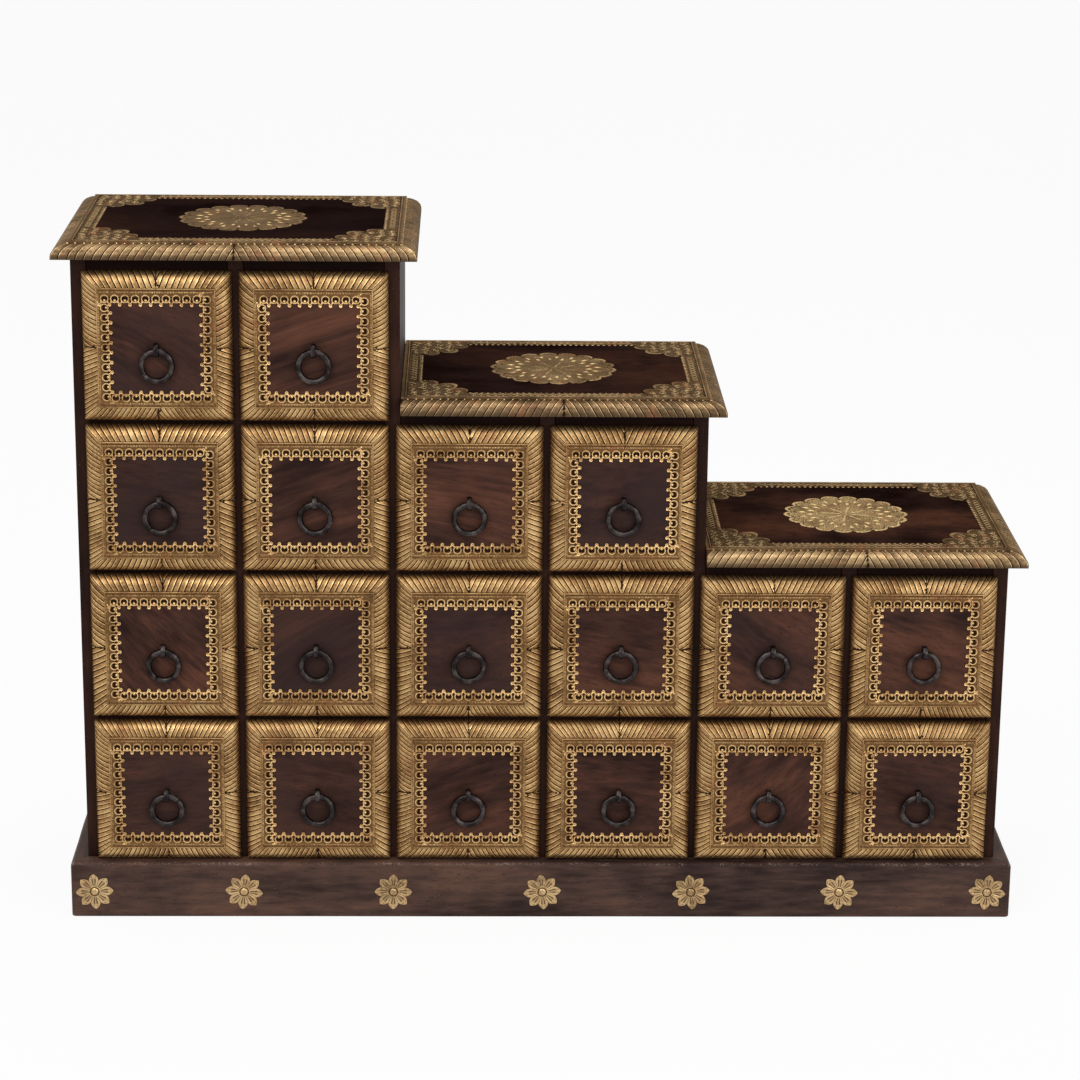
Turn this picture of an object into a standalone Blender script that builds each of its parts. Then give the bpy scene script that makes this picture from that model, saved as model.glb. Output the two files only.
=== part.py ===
"""Stepped chest of small drawers with iron ring pulls.

A boarded carcass in three steps stands on a mitred plinth and carries a moulded top on each step.
Its uprights and shelves are lapped into each other like an egg crate. Each compartment holds a
lipped drawer that slides on the shelf below it, and an iron ring hangs in an eye on its front.
The front faces -Y, +Z is up, and the origin is on the floor, in the middle of the whole chest.
"""

import math

import bmesh
import bpy
from mathutils import Matrix, Vector

# Driving dimensions, in metres.

# The grid of drawers.
STEP_ROWS = (4, 3, 2)           # rows of drawers in each step, from the left
STEP_COLUMNS = 2                # columns of drawers in each step
COLUMN_PITCH = 0.1205           # from the middle of one upright to the next
ROW_PITCH = 0.1222              # from one shelf to the next

# The carcass boards.
UPRIGHT_THICKNESS = 0.012
SHELF_THICKNESS = 0.016
BOARD_DEPTH = 0.1807            # front to back, of uprights and shelves
HOUSING_DEPTH = 0.004           # how far a shelf's end goes into the upright that stops it
HOUSING_STOP = 0.020            # length at the front where that end is cut back, out of sight
BACK_THICKNESS = 0.005
JOINT_GAP = 0.0003              # between any two pieces that meet

# The plinth.
PLINTH_HEIGHT = 0.047
PLINTH_RAIL_WIDTH = 0.032
PLINTH_FRONT_LEDGE = 0.013      # how far the plinth stands out in front of the carcass
PLINTH_SIDE_LEDGE = 0.013       # how far it stands out at each side
PLINTH_ROUNDING = 0.004

# The tops.
TOP_THICKNESS = 0.0118
TOP_FRONT_OVERHANG = 0.0135
TOP_SIDE_OVERHANG = 0.0135
TOP_MOULDING_WIDTH = 0.012
TOP_LIP = 0.0022                # upright edge below the moulding's curve
TOP_FILLET = 0.0012             # step between the curve and the flat field

# The drawers.
FRONT_COLUMN_GAP = 0.005        # between the fronts of neighbouring columns
FRONT_ROW_GAP = 0.0035          # between the fronts of neighbouring rows
FRONT_PLINTH_CLEARANCE = 0.0006
FRONT_THICKNESS = 0.012         # in front of the carcass
FRONT_TONGUE = 0.006            # the front's thickness inside the compartment
FRONT_MOULDING_WIDTH = 0.012
FRONT_LIP = 0.0022
FRONT_FILLET = 0.0012
DRAWER_SIDE_CLEARANCE = 0.001
DRAWER_HEADROOM = 0.0065
DRAWER_REAR_SPACE = 0.012
DRAWER_WALL = 0.008
DRAWER_FLOOR = 0.005

# The ring pulls.
RING_OUTER_DIAMETER = 0.0285
RING_WIRE_DIAMETER = 0.0048
RING_SEAT_GAP = 0.0005          # between the ring and the bottom of its eye
EYE_PLAY = 0.0016               # the eye's inner radius beyond the wire's
EYE_STRAP_THICKNESS = 0.0015
EYE_STRAP_WIDTH = 0.0036
EYE_SINK = 0.0012               # how deep the eye's back lies in the drawer front

# Facets.
MOULDING_FACETS = 4             # in the quarter curve of a moulded edge
ROUNDING_FACETS = 3             # in the plinth's rounded edge
EYE_FACETS = 16
RING_FACETS = 20
WIRE_FACETS = 8
SMOOTH_ANGLE = math.radians(40)

# Sizes and places that follow from them.
COLUMN_ROWS = [rows for rows in STEP_ROWS for _ in range(STEP_COLUMNS)]
COLUMNS = len(COLUMN_ROWS)
CARCASS_WIDTH = COLUMNS * COLUMN_PITCH + UPRIGHT_THICKNESS
PLINTH_WIDTH = CARCASS_WIDTH + 2 * PLINTH_SIDE_LEDGE

FRONT_OVERLAP = (SHELF_THICKNESS - FRONT_ROW_GAP) / 2
CARCASS_BOTTOM_Z = PLINTH_HEIGHT + JOINT_GAP
LOWEST_FLOOR_Z = PLINTH_HEIGHT + FRONT_PLINTH_CLEARANCE + FRONT_OVERLAP
OPENING_WIDTH = COLUMN_PITCH - UPRIGHT_THICKNESS
OPENING_HEIGHT = ROW_PITCH - SHELF_THICKNESS
FRONT_WIDTH = COLUMN_PITCH - FRONT_COLUMN_GAP
FRONT_HEIGHT = ROW_PITCH - FRONT_ROW_GAP

WIRE_RADIUS = RING_WIRE_DIAMETER / 2
RING_RADIUS = RING_OUTER_DIAMETER / 2 - WIRE_RADIUS
EYE_INNER_RADIUS = WIRE_RADIUS + EYE_PLAY
EYE_OUTER_RADIUS = EYE_INNER_RADIUS + EYE_STRAP_THICKNESS
FIELD_Y = -(JOINT_GAP + FRONT_THICKNESS)
EYE_Y = FIELD_Y - EYE_OUTER_RADIUS + EYE_SINK
RING_AXIS_Z = RING_SEAT_GAP - EYE_PLAY

FRONT_REACH = max(PLINTH_FRONT_LEDGE, TOP_FRONT_OVERHANG, EYE_OUTER_RADIUS - EYE_Y)
TOTAL_DEPTH = FRONT_REACH + BOARD_DEPTH + JOINT_GAP + BACK_THICKNESS
FRONT_Y = FRONT_REACH - TOTAL_DEPTH / 2
BOARD_BACK_Y = FRONT_Y + BOARD_DEPTH
BACK_Y = TOTAL_DEPTH / 2
LAP_Y = (FRONT_Y + BOARD_BACK_Y) / 2


def upright_x(index):
    """Middle of an upright's thickness, counted from the left side of the carcass."""
    return (index - COLUMNS / 2) * COLUMN_PITCH


def upright_levels(index):
    """Number of shelf levels that an upright reaches: those of its taller neighbour column."""
    return max(COLUMN_ROWS[max(index - 1, 0)], COLUMN_ROWS[min(index, COLUMNS - 1)])


def shelf_columns(level):
    """Number of columns, from the left, that the shelf of a level runs across."""
    return sum(rows >= level for rows in COLUMN_ROWS)


def shelf_top(level):
    """Height of the floor that the row above this level slides on."""
    return LOWEST_FLOOR_Z + level * ROW_PITCH


def shelf_bottom(level):
    """Underside of a shelf. The lowest one is the thinner bottom board, which lies on the plinth."""
    return shelf_top(level) - SHELF_THICKNESS if level else CARCASS_BOTTOM_Z


def new_material(name, colour, roughness, metallic=0.0):
    """One Principled material with a plain colour."""
    material = bpy.data.materials.new(name)
    material.use_nodes = True
    shader = material.node_tree.nodes["Principled BSDF"]
    shader.inputs["Base Color"].default_value = (*colour, 1.0)
    shader.inputs["Roughness"].default_value = roughness
    shader.inputs["Metallic"].default_value = metallic
    material.diffuse_color = (*colour, 1.0)
    return material


def new_mesh(name, bm, material=None):
    """Turn a bmesh into a mesh with outward faces, smooth across its shallow edges."""
    bmesh.ops.recalc_face_normals(bm, faces=bm.faces[:])
    mesh = bpy.data.meshes.new(name)
    bm.to_mesh(mesh)
    bm.free()
    mesh.shade_smooth()
    mesh.set_sharp_from_angle(angle=SMOOTH_ANGLE)
    if material:
        mesh.materials.append(material)
    return mesh


def new_object(name, mesh, location=(0.0, 0.0, 0.0), parent=None):
    """Place a mesh, or an empty if the mesh is None, under a parent."""
    piece = bpy.data.objects.new(name, mesh)
    piece.location = location
    piece.parent = parent
    bpy.context.scene.collection.objects.link(piece)
    return piece


def add_box(bm, low, high):
    """Add a box between two corners."""
    low, high = Vector(low), Vector(high)
    size = Matrix.Diagonal((*(high - low), 1.0))
    bmesh.ops.create_cube(bm, size=1.0, matrix=Matrix.Translation((low + high) / 2) @ size)


def add_loft(bm, loops):
    """Skin a stack of closed loops that have equal numbers of points, and cap both ends."""
    rings = [[bm.verts.new(point) for point in loop] for loop in loops]
    for lower, upper in zip(rings, rings[1:]):
        for here in range(len(lower)):
            bm.faces.new((lower[here - 1], lower[here], upper[here], upper[here - 1]))
    bm.faces.new(rings[0])
    bm.faces.new(rings[-1])


def add_ring(bm, section, centre, axis, steps):
    """Spin a closed section a full turn about an axis."""
    corners = [bm.verts.new(point) for point in section]
    edges = [bm.edges.new((corners[here - 1], corners[here])) for here in range(len(corners))]
    turn = {"cent": centre, "axis": axis, "angle": math.tau, "steps": steps}
    bmesh.ops.spin(bm, geom=corners + edges, use_merge=True, **turn)


def moulded_edge(width, rise, lip, fillet):
    """Inset and rise of each line of a moulded edge: lip, quarter curve, fillet, field."""
    curve_rise = rise - lip - fillet
    turns = [math.pi / 2 * step / MOULDING_FACETS for step in range(MOULDING_FACETS + 1)]
    curve = [(width * (1 - math.cos(turn)), lip + curve_rise * math.sin(turn)) for turn in turns]
    return [(0.0, 0.0), *curve, (width, rise)]


def subtract_boxes(piece, boxes):
    """Cut boxes, given in the piece's own axes, out of it with a Boolean."""
    bm = bmesh.new()
    for low, high in boxes:
        add_box(bm, low, high)
    name = piece.name + "_cutter"
    cutter = new_object(name, new_mesh(name, bm), piece.location, piece.parent)
    cutter.hide_render = True
    cutter.display_type = "WIRE"
    cut = piece.modifiers.new("joints", "BOOLEAN")
    cut.operation = "DIFFERENCE"
    cut.solver = "EXACT"
    cut.object = cutter


def new_board(name, low, high, material, parent, cuts=()):
    """A board between two corners of the chest, with box-shaped joints cut out of it."""
    middle = (Vector(low) + Vector(high)) / 2
    bm = bmesh.new()
    add_box(bm, Vector(low) - middle, Vector(high) - middle)
    board = new_object(name, new_mesh(name, bm, material), middle, parent)
    if cuts:
        subtract_boxes(board, [(Vector(a) - middle, Vector(b) - middle) for a, b in cuts])
    return board


def build_plinth(material, parent):
    """Four rails, mitred at the corners, each with a rounded upper outer edge."""
    profile = [(0.0, 0.0)]
    for step in range(ROUNDING_FACETS + 1):
        turn = math.pi / 2 * step / ROUNDING_FACETS
        inset = PLINTH_ROUNDING * (1 - math.cos(turn))
        profile.append((inset, PLINTH_HEIGHT - PLINTH_ROUNDING * (1 - math.sin(turn))))
    profile += [(PLINTH_RAIL_WIDTH, PLINTH_HEIGHT), (PLINTH_RAIL_WIDTH, 0.0)]

    x, front = PLINTH_WIDTH / 2, FRONT_Y - PLINTH_FRONT_LEDGE
    corners = [(-x, front, 0), (x, front, 0), (x, BACK_Y, 0), (-x, BACK_Y, 0)]
    corners = [Vector(corner) for corner in corners]
    mitre_gap = JOINT_GAP / math.sqrt(2)
    for index, side in enumerate(("front", "right", "back", "left")):
        start, end = corners[index], corners[(index + 1) % 4]
        along = (end - start).normalized()
        inward = Vector((-along.y, along.x, 0.0))
        middle = (start + end) / 2
        loops = []
        for corner, direction in ((start, along), (end, -along)):
            loop = []
            for inset, height in profile:
                mitre = direction * (inset + mitre_gap) + inward * inset
                loop.append(corner - middle + mitre + Vector((0, 0, height)))
            loops.append(loop)
        bm = bmesh.new()
        add_loft(bm, loops)
        name = "plinth_%s_rail" % side
        new_object(name, new_mesh(name, bm, material), middle, parent)


def build_uprights(material, parent):
    """Sides and partitions, slotted from the back for the shelves that cross them."""
    half = UPRIGHT_THICKNESS / 2
    spare = UPRIGHT_THICKNESS
    for index in range(COLUMNS + 1):
        x = upright_x(index)
        levels = upright_levels(index)
        cuts = []
        for level in range(levels + 1):
            open_top = spare if level == levels else JOINT_GAP
            open_bottom = spare if level == 0 else JOINT_GAP
            low_z = shelf_bottom(level) - open_bottom
            high_z = shelf_top(level) + open_top
            last = shelf_columns(level)
            if 0 < index < last:
                low = (x - half - spare, LAP_Y - JOINT_GAP / 2, low_z)
                cuts.append((low, (x + half + spare, BOARD_BACK_Y + spare, high_z)))
            elif index in (0, last):
                inner = half if index == 0 else -half
                depth = HOUSING_DEPTH if index == 0 else -HOUSING_DEPTH
                faces = sorted((x + inner - depth, x + inner + depth))
                low = (faces[0], FRONT_Y + HOUSING_STOP, low_z)
                cuts.append((low, (faces[1], BOARD_BACK_Y + spare, high_z)))
        name = {0: "side_left", COLUMNS: "side_right"}.get(index, "partition_%d" % index)
        low = (x - half, FRONT_Y, CARCASS_BOTTOM_Z)
        new_board(name, low, (x + half, BOARD_BACK_Y, shelf_top(levels)), material, parent, cuts)


def build_shelves(material, parent):
    """Bottom board and shelves, slotted from the front, with tongues in the end uprights."""
    half = UPRIGHT_THICKNESS / 2
    spare = SHELF_THICKNESS
    for level in range(max(STEP_ROWS) + 1):
        last = shelf_columns(level)
        low_z, high_z = shelf_bottom(level), shelf_top(level)
        reach = half - HOUSING_DEPTH + JOINT_GAP
        left, right = upright_x(0) + reach, upright_x(last) - reach
        cuts = []
        for index in range(1, last):
            low = (upright_x(index) - half - JOINT_GAP, FRONT_Y - spare, low_z - spare)
            high = (upright_x(index) + half + JOINT_GAP, LAP_Y + JOINT_GAP / 2, high_z + spare)
            cuts.append((low, high))
        stop_y = FRONT_Y + HOUSING_STOP + JOINT_GAP
        for west, east in ((left - spare, left + HOUSING_DEPTH), (right - HOUSING_DEPTH, right + spare)):
            cuts.append(((west, FRONT_Y - spare, low_z - spare), (east, stop_y, high_z + spare)))
        name = "shelf_%d" % level if level else "bottom_board"
        new_board(name, (left, FRONT_Y, low_z), (right, BOARD_BACK_Y, high_z), material, parent, cuts)


def step_span(step):
    """Index of a step's first and last upright."""
    return step * STEP_COLUMNS, (step + 1) * STEP_COLUMNS


def step_name(step):
    """Name of a step by its height."""
    return ("tall", "middle", "low")[step]


def build_backs(material, parent):
    """A thin panel behind each step, which covers the back edge of the step's right upright."""
    for step, rows in enumerate(STEP_ROWS):
        first, last = step_span(step)
        left = upright_x(first) + (UPRIGHT_THICKNESS / 2 + JOINT_GAP if step else -UPRIGHT_THICKNESS / 2)
        right = upright_x(last) + UPRIGHT_THICKNESS / 2
        low = (left, BOARD_BACK_Y + JOINT_GAP, CARCASS_BOTTOM_Z)
        new_board("back_panel_" + step_name(step), low, (right, BACK_Y, shelf_top(rows)), material, parent)


def build_tops(material, parent):
    """A top for each step, moulded on its free edges and square where it meets the taller step."""
    edge = moulded_edge(TOP_MOULDING_WIDTH, TOP_THICKNESS, TOP_LIP, TOP_FILLET)
    for step, rows in enumerate(STEP_ROWS):
        first, last = step_span(step)
        free_left = step == 0
        outer_left = -UPRIGHT_THICKNESS / 2 - TOP_SIDE_OVERHANG
        left = upright_x(first) + (outer_left if free_left else UPRIGHT_THICKNESS / 2 + JOINT_GAP)
        right = upright_x(last) + UPRIGHT_THICKNESS / 2 + TOP_SIDE_OVERHANG
        front = FRONT_Y - TOP_FRONT_OVERHANG
        middle = Vector(((left + right) / 2, (front + BACK_Y) / 2, shelf_top(rows) + JOINT_GAP))
        loops = []
        for inset, rise in edge:
            west = left + (inset if free_left else 0.0)
            east, south = right - inset, front + inset
            corners = [(west, south), (east, south), (east, BACK_Y), (west, BACK_Y)]
            loops.append([(x - middle.x, y - middle.y, rise) for x, y in corners])
        bm = bmesh.new()
        add_loft(bm, loops)
        name = "top_" + step_name(step)
        new_object(name, new_mesh(name, bm, material), middle, parent)


def drawer_front_shape(bm):
    """The lipped front: a square board with a moulded edge all round, about the drawer's origin."""
    loops = []
    for inset, rise in moulded_edge(FRONT_MOULDING_WIDTH, FRONT_THICKNESS, FRONT_LIP, FRONT_FILLET):
        x, z, y = FRONT_WIDTH / 2 - inset, FRONT_HEIGHT / 2 - inset, -JOINT_GAP - rise
        loops.append([(-x, y, -z), (x, y, -z), (x, y, z), (-x, y, z)])
    add_loft(bm, loops)


def drawer_box_corners():
    """Low and high corner of the drawer box, which starts inside the front."""
    x = OPENING_WIDTH / 2 - DRAWER_SIDE_CLEARANCE
    low_z = JOINT_GAP - OPENING_HEIGHT / 2
    high_z = OPENING_HEIGHT / 2 - DRAWER_HEADROOM
    return Vector((-x, -FRONT_LIP, low_z)), Vector((x, BOARD_DEPTH - DRAWER_REAR_SPACE, high_z))


def eye_shape(bm):
    """The eye: a flat iron strap bent to a circle in the upright plane, its back sunk in the front."""
    half = EYE_STRAP_WIDTH / 2
    section = [
        (x, EYE_Y, radius)
        for x, radius in (
            (-half, EYE_INNER_RADIUS),
            (half, EYE_INNER_RADIUS),
            (half, EYE_OUTER_RADIUS),
            (-half, EYE_OUTER_RADIUS),
        )
    ]
    add_ring(bm, section, (0.0, EYE_Y, 0.0), (1.0, 0.0, 0.0), EYE_FACETS)


def drawer_mesh(material):
    """One drawer: an open box joined to its lipped front and to the eye on it."""
    bm = bmesh.new()
    low, high = drawer_box_corners()
    add_box(bm, low, high)
    body = new_object("drawer_body", new_mesh("drawer_body", bm))

    tools = []
    hollow = bmesh.new()
    hollow_low = Vector((low.x + DRAWER_WALL, FRONT_TONGUE, low.z + DRAWER_FLOOR))
    add_box(hollow, hollow_low, (high.x - DRAWER_WALL, high.y - DRAWER_WALL, high.z + DRAWER_WALL))
    tools.append(("DIFFERENCE", hollow))
    for shape in (drawer_front_shape, eye_shape):
        bm = bmesh.new()
        shape(bm)
        tools.append(("UNION", bm))

    helpers = []
    for operation, bm in tools:
        helper = new_object("drawer_tool", new_mesh("drawer_tool", bm))
        helpers.append(helper)
        join = body.modifiers.new(operation.lower(), "BOOLEAN")
        join.operation = operation
        join.solver = "EXACT"
        join.object = helper
    depsgraph = bpy.context.evaluated_depsgraph_get()
    mesh = bpy.data.meshes.new_from_object(body.evaluated_get(depsgraph))
    mesh.name = "drawer"
    mesh.materials.clear()
    mesh.materials.append(material)
    for helper in [body, *helpers]:
        bpy.data.objects.remove(helper)
    return mesh


def ring_mesh(material):
    """One ring in its hanging pose. A straight facet of it lies along the axis that it swings on."""
    half_step = math.pi / RING_FACETS
    centre = Vector((0.0, 0.0, -RING_RADIUS * math.cos(half_step)))
    outward = Vector((math.sin(half_step), 0.0, math.cos(half_step)))
    section = []
    for step in range(WIRE_FACETS):
        turn = math.tau * (step + 0.5) / WIRE_FACETS
        radius = RING_RADIUS + WIRE_RADIUS * math.cos(turn)
        section.append(centre + outward * radius + Vector((0, WIRE_RADIUS * math.sin(turn), 0)))
    bm = bmesh.new()
    add_ring(bm, section, centre, (0.0, 1.0, 0.0), RING_FACETS)
    return new_mesh("ring", bm, material)


def build_drawers(wood, iron, parent):
    """A drawer in every compartment, and a ring in the eye of every drawer."""
    drawer, ring = drawer_mesh(wood), ring_mesh(iron)
    for column, rows in enumerate(COLUMN_ROWS):
        x = (upright_x(column) + upright_x(column + 1)) / 2
        for row in range(rows):
            place = "r%dc%d" % (row + 1, column + 1)
            z = shelf_top(row) + OPENING_HEIGHT / 2
            box = new_object("drawer_" + place, drawer, (x, FRONT_Y, z), parent)
            new_object("ring_" + place, ring, (0.0, EYE_Y, RING_AXIS_Z), box)


for old in list(bpy.data.objects):
    bpy.data.objects.remove(old)

carcass_wood = new_material("carcass_wood", (0.035, 0.014, 0.010), 0.45)
plinth_wood = new_material("plinth_wood", (0.060, 0.025, 0.016), 0.50)
top_wood = new_material("top_wood", (0.022, 0.010, 0.008), 0.30)
back_wood = new_material("back_wood", (0.090, 0.050, 0.030), 0.70)
drawer_wood = new_material("drawer_wood", (0.055, 0.020, 0.015), 0.50)
ring_iron = new_material("ring_iron", (0.035, 0.034, 0.035), 0.45, 1.0)

chest = new_object("chest", None)
build_plinth(plinth_wood, chest)
build_uprights(carcass_wood, chest)
build_shelves(carcass_wood, chest)
build_backs(back_wood, chest)
build_tops(top_wood, chest)
build_drawers(drawer_wood, ring_iron, chest)
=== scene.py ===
"""Looks of a stepped chest of small drawers, dark wood clad in embossed brass, with iron ring pulls."""

import math

import bmesh
import bpy
import numpy as np
from mathutils import Matrix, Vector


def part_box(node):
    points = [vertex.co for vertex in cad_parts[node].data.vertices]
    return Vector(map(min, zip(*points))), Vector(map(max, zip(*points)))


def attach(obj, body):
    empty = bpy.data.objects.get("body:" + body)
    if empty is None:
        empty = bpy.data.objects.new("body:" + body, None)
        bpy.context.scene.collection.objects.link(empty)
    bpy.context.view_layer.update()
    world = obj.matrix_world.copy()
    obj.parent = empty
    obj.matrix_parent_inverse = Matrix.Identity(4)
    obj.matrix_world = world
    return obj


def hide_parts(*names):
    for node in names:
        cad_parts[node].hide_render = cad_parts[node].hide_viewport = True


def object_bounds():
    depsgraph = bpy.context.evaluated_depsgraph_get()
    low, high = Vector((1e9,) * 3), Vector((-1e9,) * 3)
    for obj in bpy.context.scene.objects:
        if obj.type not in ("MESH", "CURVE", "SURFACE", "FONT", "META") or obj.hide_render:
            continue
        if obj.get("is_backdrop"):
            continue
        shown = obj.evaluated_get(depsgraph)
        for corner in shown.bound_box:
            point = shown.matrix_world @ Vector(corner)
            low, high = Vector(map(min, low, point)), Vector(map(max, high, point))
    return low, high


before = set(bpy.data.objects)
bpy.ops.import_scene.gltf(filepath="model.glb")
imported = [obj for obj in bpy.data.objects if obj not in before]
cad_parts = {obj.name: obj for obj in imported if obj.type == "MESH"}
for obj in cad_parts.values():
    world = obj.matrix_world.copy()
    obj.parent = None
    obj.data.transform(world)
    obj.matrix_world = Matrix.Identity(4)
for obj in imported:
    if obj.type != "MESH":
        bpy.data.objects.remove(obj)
cad_low, cad_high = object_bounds()

# Studio: a wide pale floor, a white surround that lights softly, and three large soft lamps.
# The camera stands where the photograph was taken from, a little above the chest.
MM = 0.001
WHITE = (1.0, 1.0, 1.0, 1.0)
SURROUND_LIGHT = 0.42
FLOOR_GREY = (0.86, 0.86, 0.86, 1.0)
FLOOR_WHITENESS = 0.93
FLOOR_REACH = 30.0
FLOOR_DROP = 0.2 * MM
CAMERA_PLACE = (-0.0595, -2.4154, 1.0505)
CAMERA_PITCH = 0.2733
CAMERA_YAW = -0.0232
CAMERA_ROLL = -0.0106
CAMERA_LENS = 103.37
CAMERA_SENSOR = 36.0
CAMERA_SHIFT = -0.09
LAMPS = (
    ("key_lamp", (-1.3, -2.3, 2.3), 1.6, 40.0),
    ("fill_lamp", (1.7, -2.4, 1.0), 1.6, 27.0),
    ("top_lamp", (0.1, 0.1, 2.6), 1.4, 18.0),
)


class Link:
    """An output of a shader node. Arithmetic on it adds Math nodes to its tree."""

    def __init__(self, tree, socket=None):
        self.tree = tree
        self.socket = socket

    def node(self, kind, settings=(), inputs=(), output=0):
        """Add a node of a kind, apply its settings, then give its sockets values or links."""
        node = self.tree.nodes.new("ShaderNode" + kind)
        for name, value in dict(settings).items():
            if name == "stops":
                stops = node.color_ramp.elements
                while len(stops) < len(value):
                    stops.new(1.0)
                for stop, (place, colour) in zip(stops, value):
                    stop.position = place
                    stop.color = (*colour, 1.0)
            else:
                setattr(node, name, value)
        for name, value in dict(inputs).items():
            if isinstance(value, Link):
                self.tree.links.new(value.socket, node.inputs[name])
            else:
                node.inputs[name].default_value = value
        return Link(self.tree, node.outputs[output] if node.outputs else None)

    def math(self, operation, first, second):
        return self.node("Math", {"operation": operation}, {0: first, 1: second})

    def __add__(self, other):
        return self.math("ADD", self, other)

    def __sub__(self, other):
        return self.math("SUBTRACT", self, other)

    def __rsub__(self, other):
        return self.math("SUBTRACT", other, self)

    def __mul__(self, other):
        return self.math("MULTIPLY", self, other)


def cleared(owner):
    """Empty the tree of nodes of a world or a material, and give its root."""
    owner.use_nodes = True
    owner.node_tree.nodes.clear()
    return Link(owner.node_tree)


def background_seen(root):
    """One for rays that show the background itself: from the camera, a gloss or through glass."""
    kinds = ("Camera", "Glossy", "Transmission")
    camera, gloss, through = (root.node("LightPath", output="Is %s Ray" % kind) for kind in kinds)
    return root.math("MAXIMUM", camera, root.math("MAXIMUM", gloss, through))


scene = bpy.context.scene
scene.view_settings.view_transform = "Standard"

surround = bpy.data.worlds.new("white_surround")
root = cleared(surround)
light = background_seen(root) * (1 - SURROUND_LIGHT) + SURROUND_LIGHT
sky = root.node("Background", inputs={"Color": WHITE, "Strength": light})
root.node("OutputWorld", inputs={"Surface": sky})
scene.world = surround

pale = bpy.data.materials.new("pale_floor")
root = cleared(pale)
matt = root.node("BsdfDiffuse", inputs={"Color": FLOOR_GREY})
white = root.node("Emission", inputs={"Color": WHITE})
share = background_seen(root) * FLOOR_WHITENESS
surface = root.node("MixShader", inputs={0: share, 1: matt, 2: white})
root.node("OutputMaterial", inputs={"Surface": surface})

reach = np.linspace(-FLOOR_REACH, FLOOR_REACH, 3)
across, along = np.meshgrid(reach, reach, indexing="ij")
floor_points = np.stack([across, along, np.full((3, 3), cad_low.z - FLOOR_DROP)], -1).reshape(-1, 3)
corner = np.array([0, 1, 3, 4])
floor_faces = np.stack([corner, corner + 3, corner + 4, corner + 1], -1)
floor_mesh = bpy.data.meshes.new("floor")
floor_mesh.from_pydata(floor_points.tolist(), [], floor_faces.tolist())
floor_mesh.materials.append(pale)
floor = bpy.data.objects.new("floor", floor_mesh)
scene.collection.objects.link(floor)
floor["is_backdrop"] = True

for name, place, size, power in LAMPS:
    lamp = bpy.data.lights.new(name, "AREA")
    lamp.shape = "SQUARE"
    lamp.size = size
    lamp.energy = power
    holder = bpy.data.objects.new(name, lamp)
    holder.location = place
    aim = (cad_low + cad_high) / 2 - holder.location
    holder.rotation_euler = aim.to_track_quat("-Z", "Y").to_euler()
    scene.collection.objects.link(holder)

camera_data = bpy.data.cameras.new("camera")
camera_data.lens = CAMERA_LENS
camera_data.sensor_width = CAMERA_SENSOR
camera_data.shift_y = CAMERA_SHIFT
camera = bpy.data.objects.new("camera", camera_data)
turn = Matrix.Rotation(CAMERA_YAW, 4, "Z") @ Matrix.Rotation(math.pi / 2 - CAMERA_PITCH, 4, "X")
camera.matrix_world = Matrix.Translation(CAMERA_PLACE) @ turn @ Matrix.Rotation(-CAMERA_ROLL, 4, "Z")
scene.collection.objects.link(camera)
scene.camera = camera

# Plinth: four stained wooden rails, mitred at the corners and glued under the carcass.
# Their upper outer edges are rounded over by hand and worn a little paler.
PLINTH_ROUNDING = 4.0 * MM
PLINTH_MITRE_GAP = 0.15 * MM
PLINTH_WAVE = 0.12 * MM
PLINTH_WAVE_RATE = 9.0
RAIL_FACETS = 40
RAIL_FOOT_EASE = 0.6 * MM
RAIL_BACK_EASE = 0.5 * MM
RAIL_FACE_MARGIN = 4.0 * MM
CORNER_ROUNDING = 3.0 * MM
CORNER_FACETS = 4
CORNER_WEAR = 0.35
SHARP_ANGLE = math.radians(38)
MERGE_DISTANCE = 0.002 * MM
SEED_SPAN = 20
TILT_SCALE = 1.5
FIBRE_SCALE = 260.0
PORE_SCALE = 900.0
PATCH_SCALE = 22.0
SPECK_SCALE = 700.0
WOOD_STOPS = (0.30, 0.50, 0.72)
WORN = (0.26, 0.20, 0.17)
PLINTH_TONES = (
    (0.022, 0.011, 0.009),
    (0.064, 0.035, 0.027),
    (0.118, 0.060, 0.041),
    (0.040, 0.027, 0.026),
)
PLINTH_LOOKS = {"roughness": 0.50, "dust": 0.5, "contrast": 1.5}
draw = np.random.default_rng(1907)


def sheet(points, endless=False, **marks):
    """A grid of points, or a stack of like grids, with its quads and a number per point for each mark.

    Each quad joins a point to the next in both directions. Every row closes on its first point, and the
    last row of an endless sheet joins the first.
    """
    points = points.reshape(-1, *points.shape[-3:])
    count, rows, columns = points.shape[:3]
    number = np.arange(rows * columns).reshape(rows, columns)
    number = np.hstack([number, number[:, :1]])
    if endless:
        number = np.vstack([number, number[:1]])
    corners = (number[:-1, :-1], number[1:, :-1], number[1:, 1:], number[:-1, 1:])
    quads = np.stack(corners, -1).reshape(-1, 4)
    steps = np.arange(count) * rows * columns
    quads = (quads[None] + steps[:, None, None]).reshape(-1, 4)
    marks = {name: np.broadcast_to(value, points.shape[:3]).ravel() for name, value in marks.items()}
    return points.reshape(-1, 3), quads, marks


def capped(grid):
    """A grid with both ends closed, by drawing its first and its last row together to a point."""
    first, last = (np.broadcast_to(end.mean(0), end.shape)[None] for end in (grid[0], grid[-1]))
    return np.concatenate([first, grid, last])


def lay_side(along, inset, rise, distance, quarter_turns):
    """Place a side's lines in the plane: in front of the middle, then round it by quarter turns."""
    turn = quarter_turns * math.pi / 2
    inward = inset - distance
    x = along * math.cos(turn) - inward * math.sin(turn)
    y = along * math.sin(turn) + inward * math.cos(turn)
    return np.stack([x, y, np.broadcast_to(rise, x.shape)], -1)


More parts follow.
